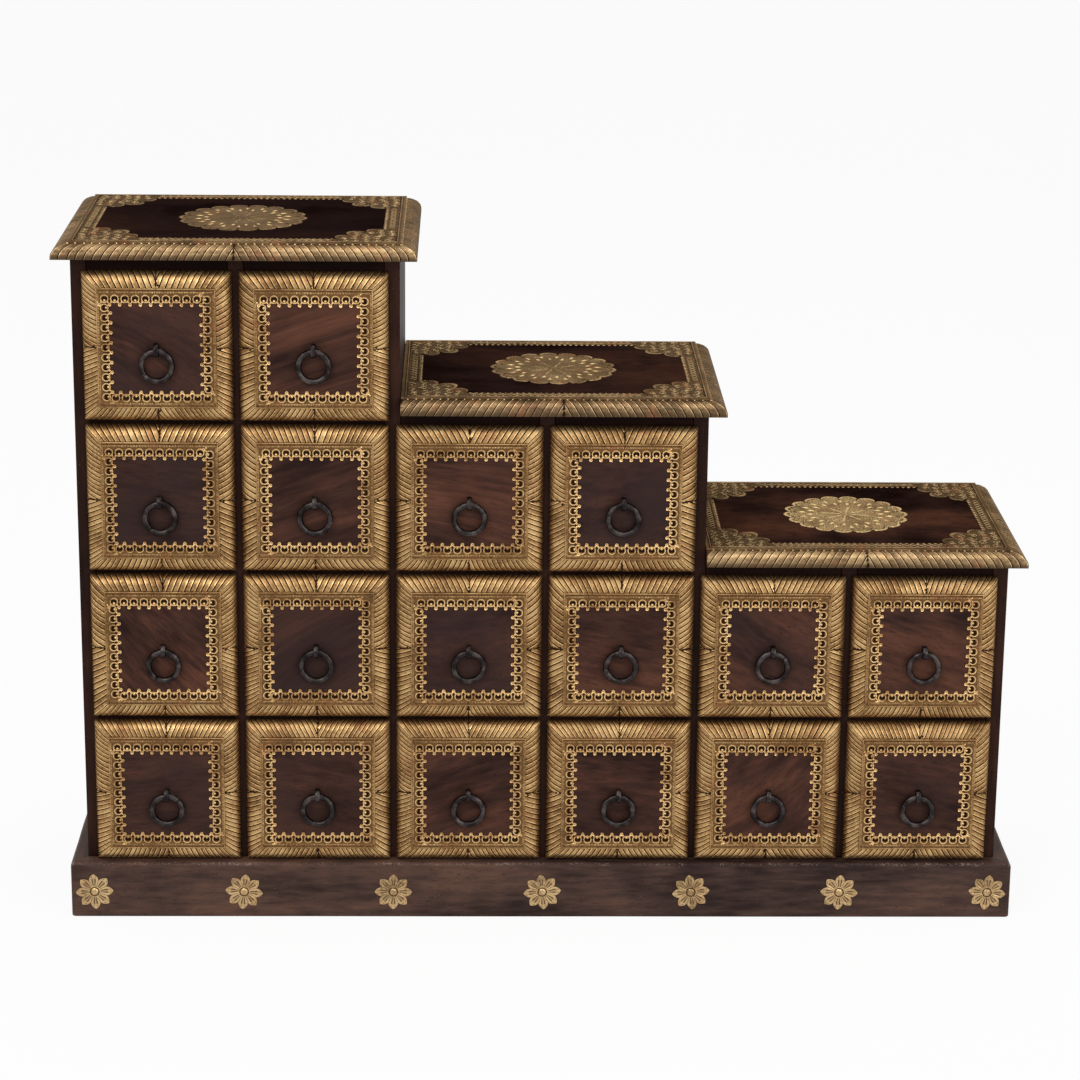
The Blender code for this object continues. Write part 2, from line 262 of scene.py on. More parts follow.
def set_mark(mesh, name, values):
    """Keep a number for each point of a mesh, for its material to read."""
    mesh.attributes.new(name, "FLOAT", "POINT").data.foreach_set("value", values.astype(np.float32))


def weld(mesh, distance, flat_angle=0.0):
    """Merge points that lie together and, up to an angle, faces that lie in one plane."""
    merged = bmesh.new()
    merged.from_mesh(mesh)
    bmesh.ops.remove_doubles(merged, verts=merged.verts, dist=distance)
    if flat_angle:
        parts = {"verts": merged.verts, "edges": merged.edges}
        bmesh.ops.dissolve_limit(merged, angle_limit=flat_angle, use_dissolve_boundaries=False, **parts)
    merged.to_mesh(mesh)
    merged.free()


def fix_piece(name, mesh, finish, body, stands_for=(), sharp=SHARP_ANGLE):
    """Make a piece of a mesh, with one finish and sharp edges at steep angles, and fix it to its body."""
    mesh.shade_smooth()
    mesh.set_sharp_from_angle(angle=sharp)
    mesh.materials.clear()
    mesh.materials.append(finish)
    piece = bpy.data.objects.new(name, mesh)
    scene.collection.objects.link(piece)
    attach(piece, body)
    if stands_for:
        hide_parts(*stands_for)
    return piece


def new_piece(name, sheets, finish, body, stands_for=(), sharp=SHARP_ANGLE):
    """Join sheets into one mesh, merge their seams and poles, and fix the piece to its body."""
    starts = np.cumsum([0] + [len(points) for points, _, _ in sheets])
    points = np.concatenate([points for points, _, _ in sheets])
    quads = np.concatenate([quads + start for (_, quads, _), start in zip(sheets, starts)])
    mesh = bpy.data.meshes.new(name)
    mesh.from_pydata(points.tolist(), [], quads.tolist())
    for mark in sheets[0][2]:
        set_mark(mesh, mark, np.concatenate([marks[mark] for _, _, marks in sheets]))
    weld(mesh, MERGE_DISTANCE)
    fix_piece(name, mesh, finish, body, stands_for, sharp)


def new_finish(name):
    """A material without nodes, and the root of its tree."""
    finish = bpy.data.materials.new(name)
    return finish, cleared(finish)


def principled(root, inputs):
    """End a tree in one Principled shader."""
    shader = root.node("BsdfPrincipled", inputs=inputs)
    root.node("OutputMaterial", inputs={"Surface": shader})


def blend(factor, first, second):
    """Mix two colours, which may be links."""
    first = first if isinstance(first, Link) else (*first, 1.0)
    second = second if isinstance(second, Link) else (*second, 1.0)
    return factor.node("Mix", {"data_type": "RGBA"}, {0: factor, 6: first, 7: second}, output=2)


def ramp(value, places, colours):
    """Colours that follow each other as a value rises, each pure at its own place."""
    return value.node("ValToRGB", {"stops": list(zip(places, colours))}, {"Fac": value})


def soft_step(value, low, high):
    """Zero below low, one above high, and a smooth rise between."""
    settings = {"interpolation_type": "SMOOTHSTEP", "clamp": True}
    return value.node("MapRange", settings, {"Value": value, "From Min": low, "From Max": high})


def noise(place, scale, detail=2.0, seed=0.0, distortion=0.0):
    """Cloudy values between 0 and 1, with scale giving clouds per metre."""
    inputs = {"Vector": place, "W": seed, "Scale": scale, "Detail": detail, "Distortion": distortion}
    return place.node("TexNoise", {"noise_dimensions": "4D"}, inputs)


def bump(height, strength, distance):
    """A normal that leans as a height rises and falls by a distance."""
    inputs = {"Height": height, "Strength": strength, "Distance": distance}
    return height.node("Bump", inputs=inputs, output="Normal")


def attribute(root, name):
    """A mark of the mesh, or zero where the mesh has no such mark."""
    return root.node("Attribute", {"attribute_name": name}, output="Fac")


def wood_finish(
    name, tones, stretch, roughness, figure=16.0, fibre=0.38,
    specular=0.12, dust=0.0, contrast=1.0, tilt=0.0,
):
    """Stained wood: broad figure, fibres drawn out along the grain, pores, dark patches, wear and dust.

    Tones are the dark, middle and pale colour and that of the dark patches. The tone mark darkens a
    piece as a whole, and the wear mark rubs it pale. Tilt turns each piece's grain in the front's plane.
    """
    finish, root = new_finish(name)
    dark, middle, pale, cool = tones
    place = root.node("TexCoord", output="Object")
    seed = attribute(root, "seed")
    turn = (noise(place, TILT_SCALE, 0.0, seed) - 0.5) * tilt
    tilted = root.node("VectorRotate", {"rotation_type": "Y_AXIS"}, {"Vector": place, "Angle": turn})
    drawn = root.node("Mapping", inputs={"Vector": tilted, "Scale": stretch})
    broad = noise(drawn, figure, 3.0, seed, 0.8)
    fibres = noise(drawn, FIBRE_SCALE, 3.0, seed)
    pores = noise(drawn, PORE_SCALE, 1.0, seed)
    patches = noise(place, PATCH_SCALE, 3.0, seed)
    specks = noise(place, SPECK_SCALE, 2.0, seed)
    figured = (broad - 0.5) * 0.60 + (fibres - 0.5) * fibre + (patches - 0.5) * 0.36
    colour = ramp(figured * contrast + 0.5, WOOD_STOPS, (dark, middle, pale))
    shaded = soft_step(patches * 0.9 + attribute(root, "tone") * 0.5, 0.50, 0.95) * 0.85
    colour = blend(shaded, colour, cool)
    colour = blend(soft_step(pores, 0.60, 0.72) * 0.55, colour, dark)
    rubbed = attribute(root, "wear") + (specks - 0.5) * 1.4 + (patches - 0.5) * 1.2
    worn = root.math("MAXIMUM", soft_step(rubbed, 0.75, 1.15) * 0.8, soft_step(specks, 0.68, 0.78) * dust)
    colour = blend(worn, colour, WORN)
    rough = (patches - 0.5) * 0.25 + fibres * 0.12 + roughness
    normal = bump(fibres * 0.6 - pores * 0.5, 0.22, 0.25 * MM)
    looks = {"Base Color": colour, "Roughness": rough, "Normal": normal}
    principled(root, {**looks, "Specular IOR Level": specular})
    return finish


plinth_woods = [
    wood_finish("plinth_long_wood", PLINTH_TONES, stretch=(0.16, 1.0, 1.0), **PLINTH_LOOKS),
    wood_finish("plinth_short_wood", PLINTH_TONES, stretch=(1.0, 0.16, 1.0), **PLINTH_LOOKS),
]
plinth_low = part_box("plinth_left_rail")[0]
plinth_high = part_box("plinth_right_rail")[1]
plinth_size = plinth_high - plinth_low
plinth_middle = (plinth_low + plinth_high) / 2
rail_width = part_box("plinth_left_rail")[1].x - plinth_low.x


def rail_section(width, height, rounding):
    """Inset, height and wear round a rail's section: up its outer face, over a quarter circle, and back."""
    turn = np.linspace(0, math.pi / 2, 9)
    shoulder = height - rounding
    over, up = rounding * (1 - np.cos(turn)), rounding * np.sin(turn)
    face = [RAIL_FOOT_EASE, 0.0, 0.0, 0.0]
    inset = np.concatenate([face, over, [3 * rounding, width - RAIL_BACK_EASE, width, width]])
    foot = [0.0, RAIL_FOOT_EASE, RAIL_FACE_MARGIN, shoulder - RAIL_FACE_MARGIN]
    rise = np.concatenate([foot, shoulder + up, [height, height, height - RAIL_BACK_EASE, 0.0]])
    wear = np.concatenate([[0.5, 0.6, 0.0, 0.1], 0.25 + 0.5 * np.sin(2 * turn), [0.1, 0.0, 0.0, 0.0]])
    return inset, rise, wear


def mitred_rail(half_length, distance, section, quarter_turns):
    """A section carried along one side of a rectangle with rounded corners, with a slight wave.

    At a corner each line of the section turns about a common centre up to the mitre, and the lines
    farther in than the rounding meet in a point. The side lies in front of the middle at the given
    distance, then goes round by quarter turns.
    """
    inset, rise, wear = section
    bend = np.maximum(CORNER_ROUNDING - inset, 0.0)
    straight = half_length - np.maximum(CORNER_ROUNDING, inset) - PLINTH_MITRE_GAP
    ends = np.ones(CORNER_FACETS)
    spread = np.concatenate([-ends, np.linspace(-1, 1, RAIL_FACETS + 1), ends])[:, None]
    turn = np.linspace(0, math.pi / 4, CORNER_FACETS + 1)[1:]
    turn = np.concatenate([turn[::-1], np.zeros(RAIL_FACETS + 1), turn])[:, None]
    along = spread * (straight + bend * np.sin(turn))
    wave = PLINTH_WAVE * np.sin(spread * PLINTH_WAVE_RATE + quarter_turns) * (1 - spread**2)
    inward = inset + bend * (1 - np.cos(turn)) + wave
    wear = wear + CORNER_WEAR * (turn > 0) * (inset < CORNER_ROUNDING)
    grid = lay_side(along, inward, rise, distance, quarter_turns)
    return capped(grid), np.concatenate([wear[:1] * 0, wear, wear[:1] * 0])


section = rail_section(rail_width, plinth_size.z, PLINTH_ROUNDING)
for turns, side in enumerate(("front", "right", "back", "left")):
    half_length, distance = plinth_size.x / 2, plinth_size.y / 2
    if turns % 2:
        half_length, distance = distance, half_length
    points, wear = mitred_rail(half_length, distance, section, turns)
    points = points + np.array([plinth_middle.x, plinth_middle.y, plinth_low.z])
    rail = sheet(points, seed=draw.uniform(0, SEED_SPAN), wear=wear)
    name = "plinth_%s_rail" % side
    new_piece(name + "_board", [rail], plinth_woods[turns % 2], "carcass", [name])

# Plinth flowers: seven eight-petalled rosettes stamped from thin sheet brass, one below each upright.
# Each is held by a domed brass pin through its middle and was set by eye, a little turned.
FLOWER_RADIUS = 15.2 * MM
FLOWER_NOTCH = 9.6 * MM
FLOWER_HEIGHT = 22.0 * MM
FLOWER_LIFT = 1.3 * MM
FLOWER_TURN = 0.12
PIN_RADIUS = 3.0 * MM
PETALS = 8
CLOUD_SCALE = 45.0
SPOT_SCALE = 520.0
HAMMER_SCALE = 620.0
NET_SCALE = 430.0
RED_SCALE = 70.0
REDDENED = (0.27, 0.105, 0.050)
BRASS_STOPS = (0.30, 0.50, 0.75)
EDGE_TINT = (0.60, 0.52, 0.44, 1.0)
FLOWER_BRASS = (
    (0.215, 0.140, 0.070),
    (0.50, 0.335, 0.165),
    (0.66, 0.47, 0.25),
    (0.040, 0.022, 0.012),
)


def brass_finish(name, tones, age):
    """Aged brass, bright on its high places, dull on the ground and dark with dirt where relief is low.

    Tones are the ground's, the middle and the bright colour and that of the dirt. Where the lace mark
    is set, a fine net of brighter lines covers the ground.
    """
    finish, root = new_finish(name)
    *shades, dirt = tones
    place = root.node("TexCoord", output="Object")
    clouds = noise(place, CLOUD_SCALE, 3.0)
    spots = noise(place, SPOT_SCALE, 4.0)
    hammer = noise(place, HAMMER_SCALE, 2.0)
    cells = {"Vector": place, "Scale": NET_SCALE}
    net = root.node("TexVoronoi", {"feature": "DISTANCE_TO_EDGE"}, cells, output="Distance")
    lines = (1 - soft_step(net, 0.03, 0.16)) * attribute(root, "lace")
    relief = root.math("MAXIMUM", attribute(root, "relief"), lines)
    warmth = clouds * 0.9 + spots * 0.7 + attribute(root, "tone") * 0.2 - 0.40
    colour = blend(soft_step(relief, 0.40, 0.95), shades[0], ramp(warmth, BRASS_STOPS, shades))
    reddened = soft_step(noise(place, RED_SCALE, 3.0), 0.52, 0.72) * 0.40
    colour = blend(reddened, colour, REDDENED)
    grime = 1 - soft_step(relief + (spots - 0.5) * age, 0.08, 0.42)
    tarnish = soft_step(spots * 0.7 + clouds * 0.5, 0.66, 0.82) * age
    dirty = root.math("MAXIMUM", grime, tarnish)
    colour = blend(dirty, colour, dirt)
    rough = dirty * 0.25 + spots * 0.20 + (1 - relief) * 0.20 + 0.24
    normal = bump(hammer, 0.3, 0.3 * MM)
    looks = {"Base Color": colour, "Roughness": rough, "Metallic": 0.88 - dirty * 0.8, "Normal": normal}
    principled(root, {**looks, "Specular IOR Level": 0.0, "Specular Tint": EDGE_TINT})
    return finish


flower_brass = brass_finish("flower_brass", FLOWER_BRASS, age=0.35)


def soft_rise(value, low, high):
    """Zero below low, one above high, and a smooth rise between, on arrays."""
    share = np.clip((value - low) / (high - low), 0, 1)
    return share * share * (3 - 2 * share)


def bell(*offsets):
    """One in the middle, and a fall to nothing as the squares of the offsets add up."""
    return np.exp(-sum(offset**2 for offset in offsets))


def circle(count):
    """Angles all round, evenly spread."""
    return np.linspace(0, math.tau, count, endpoint=False)


def round_grid(out, angle, height):
    """Points at a distance and an angle about the middle, at a height."""
    return np.stack(np.broadcast_arrays(out * np.cos(angle), out * np.sin(angle), height), -1)


def petal_flower(radius, notch, petals, pin, lift):
    """A flower as height over a disc, from the rim in to the pin.

    The rim's radius falls from each petal's tip to the notch between petals like a pointed arch.
    A channel with two lines runs out along each petal, and a dome stands in the middle.
    """
    angle = circle(petals * 20)
    share = np.linspace(1.0, 0.0, 22)[:, None]
    aside = np.abs((angle * petals / math.tau + 0.5) % 1.0 - 0.5) * 2
    rim = notch + (radius - notch) * (1 - aside) ** 0.62
    inner = pin * 1.08
    out = inner + (rim - inner) * share
    channel = (1 - soft_rise(aside, 0.45, 0.62)) * soft_rise(share, 0.08, 0.18)
    channel = channel * (1 - soft_rise(share, 0.66, 0.80))
    lines = channel * bell((aside - 0.32) / 0.13)
    seam = soft_rise(aside, 0.86, 1.0) * (1 - soft_rise(share, 0.80, 1.0))
    dot = bell((share - 0.88) / 0.05, (aside - 0.30) / 0.13)
    height = lift * (0.45 + 0.20 * (1 - share) - 0.16 * channel - 0.12 * lines - 0.2 * seam)
    mark = np.clip(0.97 - 0.20 * channel - 0.70 * lines - 0.75 * seam - 0.7 * dot, 0.0, 1.0)
    mark = np.where(share < 0.06, 0.02, mark)
    skirt = round_grid(rim, angle, 0.0)[None]
    dome_share = np.linspace(1, 0, 6)[:, None]
    dome_height = lift * (0.45 + 0.75 * np.sqrt(1 - 0.999 * dome_share**2))
    dome = round_grid(pin * dome_share, angle, dome_height)
    points = np.concatenate([np.zeros_like(skirt), skirt, round_grid(out, angle, height), dome])
    mark = np.concatenate([np.full((2, angle.size), 0.3), mark, np.full((6, angle.size), 0.95)])
    return points, mark


def on_front(points, x, y, z):
    """Stand a relief on the front: across is x, up is z and its height comes forward."""
    return np.stack([x + points[..., 0], y - points[..., 2], z + points[..., 1]], -1)


def turned(points, angle):
    """Turn a relief in its own plane."""
    x, y, height = points[..., 0], points[..., 1], points[..., 2]
    cosine, sine = math.cos(angle), math.sin(angle)
    return np.stack([x * cosine - y * sine, x * sine + y * cosine, height], -1)


uprights = ["side_left", *("partition_%d" % index for index in range(1, 6)), "side_right"]
flower_points, flower_mark = petal_flower(FLOWER_RADIUS, FLOWER_NOTCH, PETALS, PIN_RADIUS, FLOWER_LIFT)
for index, upright in enumerate(uprights):
    low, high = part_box(upright)
    points = turned(flower_points, draw.uniform(-FLOWER_TURN, FLOWER_TURN))
    points = on_front(points, (low.x + high.x) / 2, plinth_low.y, FLOWER_HEIGHT)
    flower = sheet(points[:, ::-1], relief=flower_mark[:, ::-1], tone=draw.uniform(0, 1))
    new_piece("plinth_flower_%d" % (index + 1), [flower], flower_brass, "carcass")

# Carcass: dark stained boards, uprights and shelves slotted into each other like an egg crate.
# Only their front edges, the outer sides and the tall steps' flanks are seen.
BOARD_EASING = 0.6 * MM
BOARD_MERGE = 0.01 * MM
FLAT_ANGLE = math.radians(1)
EASED_ANGLE = math.radians(50)
CARCASS_TONES = (
    (0.008, 0.0030, 0.0018),
    (0.025, 0.0090, 0.0055),
    (0.052, 0.021, 0.013),
    (0.010, 0.005, 0.004),
)
# Painted shade: the shelves are the uprights' wood made much darker, for the shadow that falls on the shelf
# fronts under each drawer.
SHELF_PAINTED_SHADE_TONES = (
    (0.004, 0.0017, 0.0013),
    (0.012, 0.0048, 0.0035),
    (0.028, 0.012, 0.008),
    (0.006, 0.003, 0.0026),
)
upright_wood = wood_finish(
    "upright_wood", CARCASS_TONES, stretch=(1.0, 1.0, 0.10), roughness=0.46, specular=0.07, dust=0.25
)
shelf_wood = wood_finish(
    "shelf_wood", SHELF_PAINTED_SHADE_TONES, stretch=(0.10, 1.0, 1.0), roughness=0.46, specular=0.03, dust=0.15
)


def eased_board(node, finish):
    """A board with its joints as cut, its triangles merged to flat faces and its edges eased."""
    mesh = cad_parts[node].data.copy()
    mesh.name = node + "_board"
    weld(mesh, BOARD_MERGE, FLAT_ANGLE)
    set_mark(mesh, "seed", np.full(len(mesh.vertices), draw.uniform(0, SEED_SPAN)))
    board = fix_piece(node + "_board", mesh, finish, "carcass", [node])
    easing = board.modifiers.new("easing", "BEVEL")
    easing.width = BOARD_EASING
    easing.segments = 2
    easing.limit_method = "ANGLE"
    easing.angle_limit = EASED_ANGLE
    easing.use_clamp_overlap = True


shelves = ["bottom_board", *("shelf_%d" % index for index in range(1, 5))]
for upright in uprights:
    eased_board(upright, upright_wood)
for shelf in shelves:
    eased_board(shelf, shelf_wood)

# Backs: a thin panel of bare wood pinned behind each step, over the ends of uprights and shelves.
# They were never stained and are paler than the rest.
STEPS = ("tall", "middle", "low")
BACK_TONES = ((0.050, 0.026, 0.015), (0.105, 0.060, 0.036), (0.165, 0.103, 0.064), (0.060, 0.036, 0.024))
back_wood = wood_finish("back_wood", BACK_TONES, stretch=(1.0, 1.0, 0.10), roughness=0.62, dust=0.2)

for step in STEPS:
    eased_board("back_panel_" + step, back_wood)

# Tops: a polished dark board on each step, with a rounded moulding on its free edges.
# The moulding is hidden under brass, and the flat field shows reddish streaks along the grain.
MOULDING_WIDTH = 12.0 * MM
MOULDING_LIP = 2.2 * MM
MOULDING_FILLET = 1.2 * MM
SKIN_FOOT = 0.2 * MM
BRASS_SEAT = 0.5 * MM
BOARD_FACETS = 6
TOP_TONES = (
    (0.0075, 0.0030, 0.0024),
    (0.0265, 0.0120, 0.0092),
    (0.082, 0.032, 0.018),
    (0.010, 0.0055, 0.0054),
)
# Painted shade and light: through the tone mark, each step's top is darkened or lightened as a whole, the
# tall one darkest and the low one palest.
TOP_PAINTED_SHADE = {"tall": 0.70, "middle": 0.45, "low": -0.15}
top_wood = wood_finish(
    "top_wood", TOP_TONES, stretch=(0.40, 1.0, 1.0), roughness=0.30, figure=9.0, fibre=0.12,
    specular=0.0, dust=0.2, contrast=1.9,
)


def moulding(rise, facets):
    """Lip and quarter ellipse of a moulded edge: inset, rise and outward direction of each line."""
    turn = np.linspace(0, math.pi / 2, facets + 1)
    climb = rise - MOULDING_LIP - MOULDING_FILLET
    inset = np.concatenate([[0.0], MOULDING_WIDTH * (1 - np.cos(turn))])
    height = np.concatenate([[SKIN_FOOT], MOULDING_LIP + climb * np.sin(turn)])
    out = np.stack([np.append(1.0, climb * np.cos(turn)), np.append(0.0, MOULDING_WIDTH * np.sin(turn))])
    out = out / np.hypot(*out)
    return inset, height, -out[0], out[1]


def ring_stack(left, right, front, back, height):
    """Rings of four corners from a board's one face to the other, with both faces closed."""
    x = np.stack([left, right, right, left], -1)
    y = np.stack([front, front, back, back], -1)
    return capped(np.stack([x, y, np.repeat(height[:, None], 4, 1)], -1))


def moulded_board(low, high, edges):
    """A board whose sides step in along a moulding, as rings of four corners from its underside up.

    Edges gives one for each moulded side and zero for each plain one: left, front, right, back.
    """
    rise = high.z - low.z
    inset, height, _, _ = moulding(rise, BOARD_FACETS)
    inset = np.concatenate([[0.0], inset, [MOULDING_WIDTH]]) + BRASS_SEAT
    height = np.concatenate([[0.0], height, [rise]])
    left, front, right, back = (np.where(edge, inset, 0.0) for edge in edges)
    return ring_stack(low.x + left, high.x - right, low.y + front, high.y - back, low.z + height)


for step in STEPS:
    points = moulded_board(*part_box("top_" + step), (step == "tall", True, True, False))
    board = sheet(points[:, ::-1], seed=draw.uniform(0, SEED_SPAN), tone=TOP_PAINTED_SHADE[step])
    new_piece("top_%s_board" % step, [board], top_wood, "carcass", ["top_" + step])

# Top edges: sheet brass dressed over the moulding and chased with slanting lines that lean to the middle.
# Each lobe between two lines ends in a small raised bead below the field.
LINE_PITCH = 6.4 * MM
LINE_LEAN = 10.5 * MM
LINE_CUT = 0.26 * MM
LINE_HALF_WIDTH = 0.08
LINE_SCATTER = 0.07
LOBE_CROWN = 0.05 * MM
CUT_END_RELIEF = 0.6
BURR_RELIEF = 0.99
EDGE_FACETS = 9
EDGE_STRENGTH = np.concatenate([[0.0, 0.4], np.linspace(0.8, 1.0, 7), [1.25, 1.25]])
# Painted shade: the relief is lowered on the lip and the lower moulding, so they come out darker, as if in
# shade.
TOP_EDGE_PAINTED_SHADE = np.array([0.55, 0.65, 0.74, 0.82, 0.90, 0.96, 1.0, 1.0, 1.0, 1.0, 1.0])
# Painted light: each step's brass edge is made brighter or darker as a whole.
TOP_EDGE_PAINTED_LIGHT = {"tall": 0.15, "middle": -0.35, "low": 0.35}
# Painted shade: the side bands are made darker than the front band.
SIDE_PAINTED_SHADE = 0.9
BEAD_RADIUS = 1.0 * MM
# Painted highlight: the beads get a much brighter tone, as if catching the light.
BEAD_PAINTED_HIGHLIGHT = 2.2
DOME_RIMS = ((0.0, 0.0), (1.0, 0.0), (0.66, 0.75), (0.0, 1.0))
TOP_BRASS = (
    (0.082, 0.052, 0.028),
    (0.235, 0.146, 0.072),
    (0.58, 0.395, 0.200),
    (0.016, 0.009, 0.005),
)
top_brass = brass_finish("top_brass", TOP_BRASS, age=0.45)


def chased_half(end, profile, strength, pitch, lean, pattern):
    """Half of one side of a moulding, from the side's middle out to its end, cut by chased lines.

    Lines start at the outer edge at about the pitch and lean to the middle on their way over the
    profile, and those near a mitre turn to run along it. A line that meets the middle stays on it.
    The end is the half's length and, where it is mitred, the next side's insets. The pattern gives,
    for the columns of each lobe, their share of the lobe, how far they stand out along the profile's
    own direction, their relief and their shine, which is painted highlight.
    """
    length, corner = end
    inset, rise, out_inset, out_rise = profile
    share, swell, relief, shine = pattern
    travel = np.append(0.0, np.cumsum(np.hypot(np.diff(inset), np.diff(rise))))
    reach = length + 1.2 * lean if corner is None else length
    count = max(int(round(reach / pitch)), 2)
    lines = np.linspace(0, reach, count + 1)
    lines[1:-1] += draw.uniform(-LINE_SCATTER, LINE_SCATTER, count - 1) * pitch
    start = np.append((lines[:-1, None] + np.diff(lines)[:, None] * share).ravel(), reach)[:, None]
    swell = np.append(np.tile(swell, count), swell[0])[:, None] * strength
    relief = np.append(np.tile(relief, count), relief[0])[:, None] + 0 * inset
    tone = np.repeat(draw.uniform(0.2, 0.8, count), len(share)) + np.tile(shine, count)
    tone = np.append(tone, 0.5)[:, None] + 0 * inset
    slope = lean * (0.9 + 0.2 * start / length) * travel / travel[-1]
    limit = length + 0 * inset
    if corner is not None:
        near = (start / length) ** 5
        slope = slope + (corner - slope) * near
        limit = length - corner - out_inset * swell[0]
    along = start - slope
    along[0], along[-1] = 0.0, limit
    stopped = (along <= 0) | (along >= limit)
    stand = np.where(stopped, swell[0], swell)
    mark = np.where(stopped, relief[0], relief)
    if corner is None:
        mark = np.where(along >= limit, CUT_END_RELIEF, mark)
    return np.clip(along, 0.0, limit), inset + out_inset * stand, rise + out_rise * stand, mark, tone


def chased_side(ends, *chasing):
    """Both halves of a side, joined at its middle."""
    left, right = (chased_half(end, *chasing) for end in ends)
    left = [-left[0], *left[1:]]
    return [np.concatenate([before[::-1], after]) for before, after in zip(left, right)]


def lobe_pattern(cut, crown, edge):
    """Columns of one lobe: the cut line's bottom and edge, the lobe, and the burr by the next line."""
    foot = 0.6 * edge
    share = np.array([0.0, foot, edge, 0.45, 0.95 - 2 * edge, 1 - edge, 1 - foot])
    swell = np.array([-cut, -0.8 * cut, 0.0, 0.7 * crown, 0.2 * crown, crown, -0.8 * cut])
    relief = np.array([-0.5, -0.4, 0.74, 0.80, 0.78, 1.0, -0.4])
    # The shine on the burr beside each cut is a painted highlight.
    return share, swell, relief, np.array([0.0, 0.0, 0.0, 0.0, 0.2, 2.0, 0.0])


def bosses(places, radius, height, sides, rims, reliefs):
    """Small round forms at places on a relief: circles at given shares of the radius and the height."""
    turn = -circle(sides)
    rims = np.array(rims)[..., None]
    boss = round_grid(rims[:, 0] * radius, turn, rims[:, 1] * height)
    points = places[:, None, None, :] + boss
    return points, np.broadcast_to(np.array(reliefs)[:, None], points.shape[:3])


def domes(places, radius, height, sides=6, relief=1.0, foot=0.3):
    """Small closed domes at places on a relief: circles of a half ellipse, from the base to the apex."""
    return bosses(places, radius, height, sides, DOME_RIMS, (foot, foot, relief, relief))


edge_pattern = lobe_pattern(LINE_CUT, LOBE_CROWN, LINE_HALF_WIDTH)
for step in STEPS:
    low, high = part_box("top_" + step)
    place = np.array([(low.x + high.x) / 2, (low.y + high.y) / 2, low.z])
    half_width, half_depth = (high.x - low.x) / 2, (high.y - low.y) / 2
    profile = moulding(high.z - low.z, EDGE_FACETS)
    mitre = profile[0]
    sides = [
        (0, half_depth, ((half_width, mitre if step == "tall" else None), (half_width, mitre))),
        (1, half_width, ((half_depth, mitre), (half_depth, None))),
    ]
    if step == "tall":
        sides.insert(0, (3, half_width, ((half_depth, None), (half_depth, mitre))))
    bands, marks, tones = [], [], []
    for turns, distance, ends in sides:
        chased = chased_side(ends, profile, EDGE_STRENGTH, LINE_PITCH, LINE_LEAN, edge_pattern)
        along, inset, rise, mark, tone = chased
        bands.append(lay_side(along, inset, rise, distance, turns))
        marks.append(mark)
        tones.append(tone + TOP_EDGE_PAINTED_LIGHT[step] - SIDE_PAINTED_SHADE * (turns > 0))
    points, mark, tone = (np.concatenate(parts) for parts in (bands, marks, tones))
    burrs = points[mark[:, -1] > BURR_RELIEF, -1] + place
    beads, bead_mark = domes(burrs, BEAD_RADIUS, 0.8 * BEAD_RADIUS, foot=0.8)
    mark, tone = (np.concatenate([value[:1], value, value[-1:]]) for value in (mark, tone))
    skin = sheet(capped(points) + place, relief=mark * TOP_EDGE_PAINTED_SHADE, tone=tone)
    beads = sheet(beads, relief=bead_mark, tone=BEAD_PAINTED_HIGHLIGHT)
    new_piece("top_%s_brass_edge" % step, [skin, beads], top_brass, "carcass")

# Top borders: embossed strips of thin sheet brass round each field, with a cusped bracket in each corner.
# Scrolls fill the brackets, a twisted vine runs along each strip and small beads fringe it.
BORDER_STRIP = 13.5 * MM
BORDER_LIFT = 0.35 * MM
BORDER_MARGIN = 0.3 * MM
BORDER_SHINE = 0.4
BORDER_LACE = 0.6
BORDER_SHARP = math.radians(60)
BRACKET_REACH = 54.0 * MM
BRACKET_SAMPLES = 37
FRINGE_PITCH = 4.6 * MM
FRINGE_RADIUS = 1.5 * MM
FRINGE_SHINE = 1.2
RIM_STEPS = np.array([0.0, 0.0, 2.4, 2.7, 3.0, 3.7, 4.0]) * MM
RIM_LIFT = np.array([-3.6, 0.9, 0.9, 0.8, 2.2, 2.2, 0.9]) * BORDER_LIFT
RIM_RELIEF = np.array([0.55, 0.8, 0.45, 0.15, 1.0, 1.0, 0.15])
LACE_SHARES = np.array([0.06, 0.5, 0.92, 0.96, 1.0, 1.0])
LACE_LIFT = np.array([0.9, 0.9, 0.9, 1.7, 1.4, -0.2]) * BORDER_LIFT
LACE_RELIEF = np.array([0.30, 0.30, 0.25, 1.0, 0.8, 0.3])
VINE_SWING = 2.2 * MM
VINE_WAVE = 11.0 * MM
VINE_SHARE = 0.66
RIDGE_WIDTH = 0.8 * MM
RIDGE_HEIGHTS = (0.40 * MM, 0.41 * MM, 0.42 * MM, 0.43 * MM)
RIDGE_SHINE = 1.9
SCROLL_TURNS = 1.3
SCROLL_START = 2.4
SCROLLS = (
    (0.19, 0.19, 0.085), (0.35, 0.16, 0.070), (0.16, 0.35, 0.070), (0.36, 0.34, 0.085),
    (0.51, 0.15, 0.065), (0.15, 0.51, 0.065), (0.52, 0.31, 0.075), (0.31, 0.52, 0.075),
    (0.52, 0.50, 0.085), (0.66, 0.15, 0.065), (0.15, 0.66, 0.065), (0.68, 0.31, 0.070),
    (0.31, 0.68, 0.070), (0.67, 0.46, 0.062), (0.46, 0.67, 0.062), (0.66, 0.64, 0.080),
    (0.80, 0.16, 0.055), (0.16, 0.80, 0.055), (0.83, 0.31, 0.060), (0.31, 0.83, 0.060),
)


def top_field(step, margin):
    """Middle of a top's flat field, and half its width and depth. Plain edges are set in by the margin."""
    low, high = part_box("top_" + step)
    left = low.x + (MOULDING_WIDTH if step == "tall" else margin)
    right, front, back = high.x - MOULDING_WIDTH, low.y + MOULDING_WIDTH, high.y - margin
    middle = np.array([(left + right) / 2, (front + back) / 2, high.z])
    return middle, (right - left) / 2, (back - front) / 2


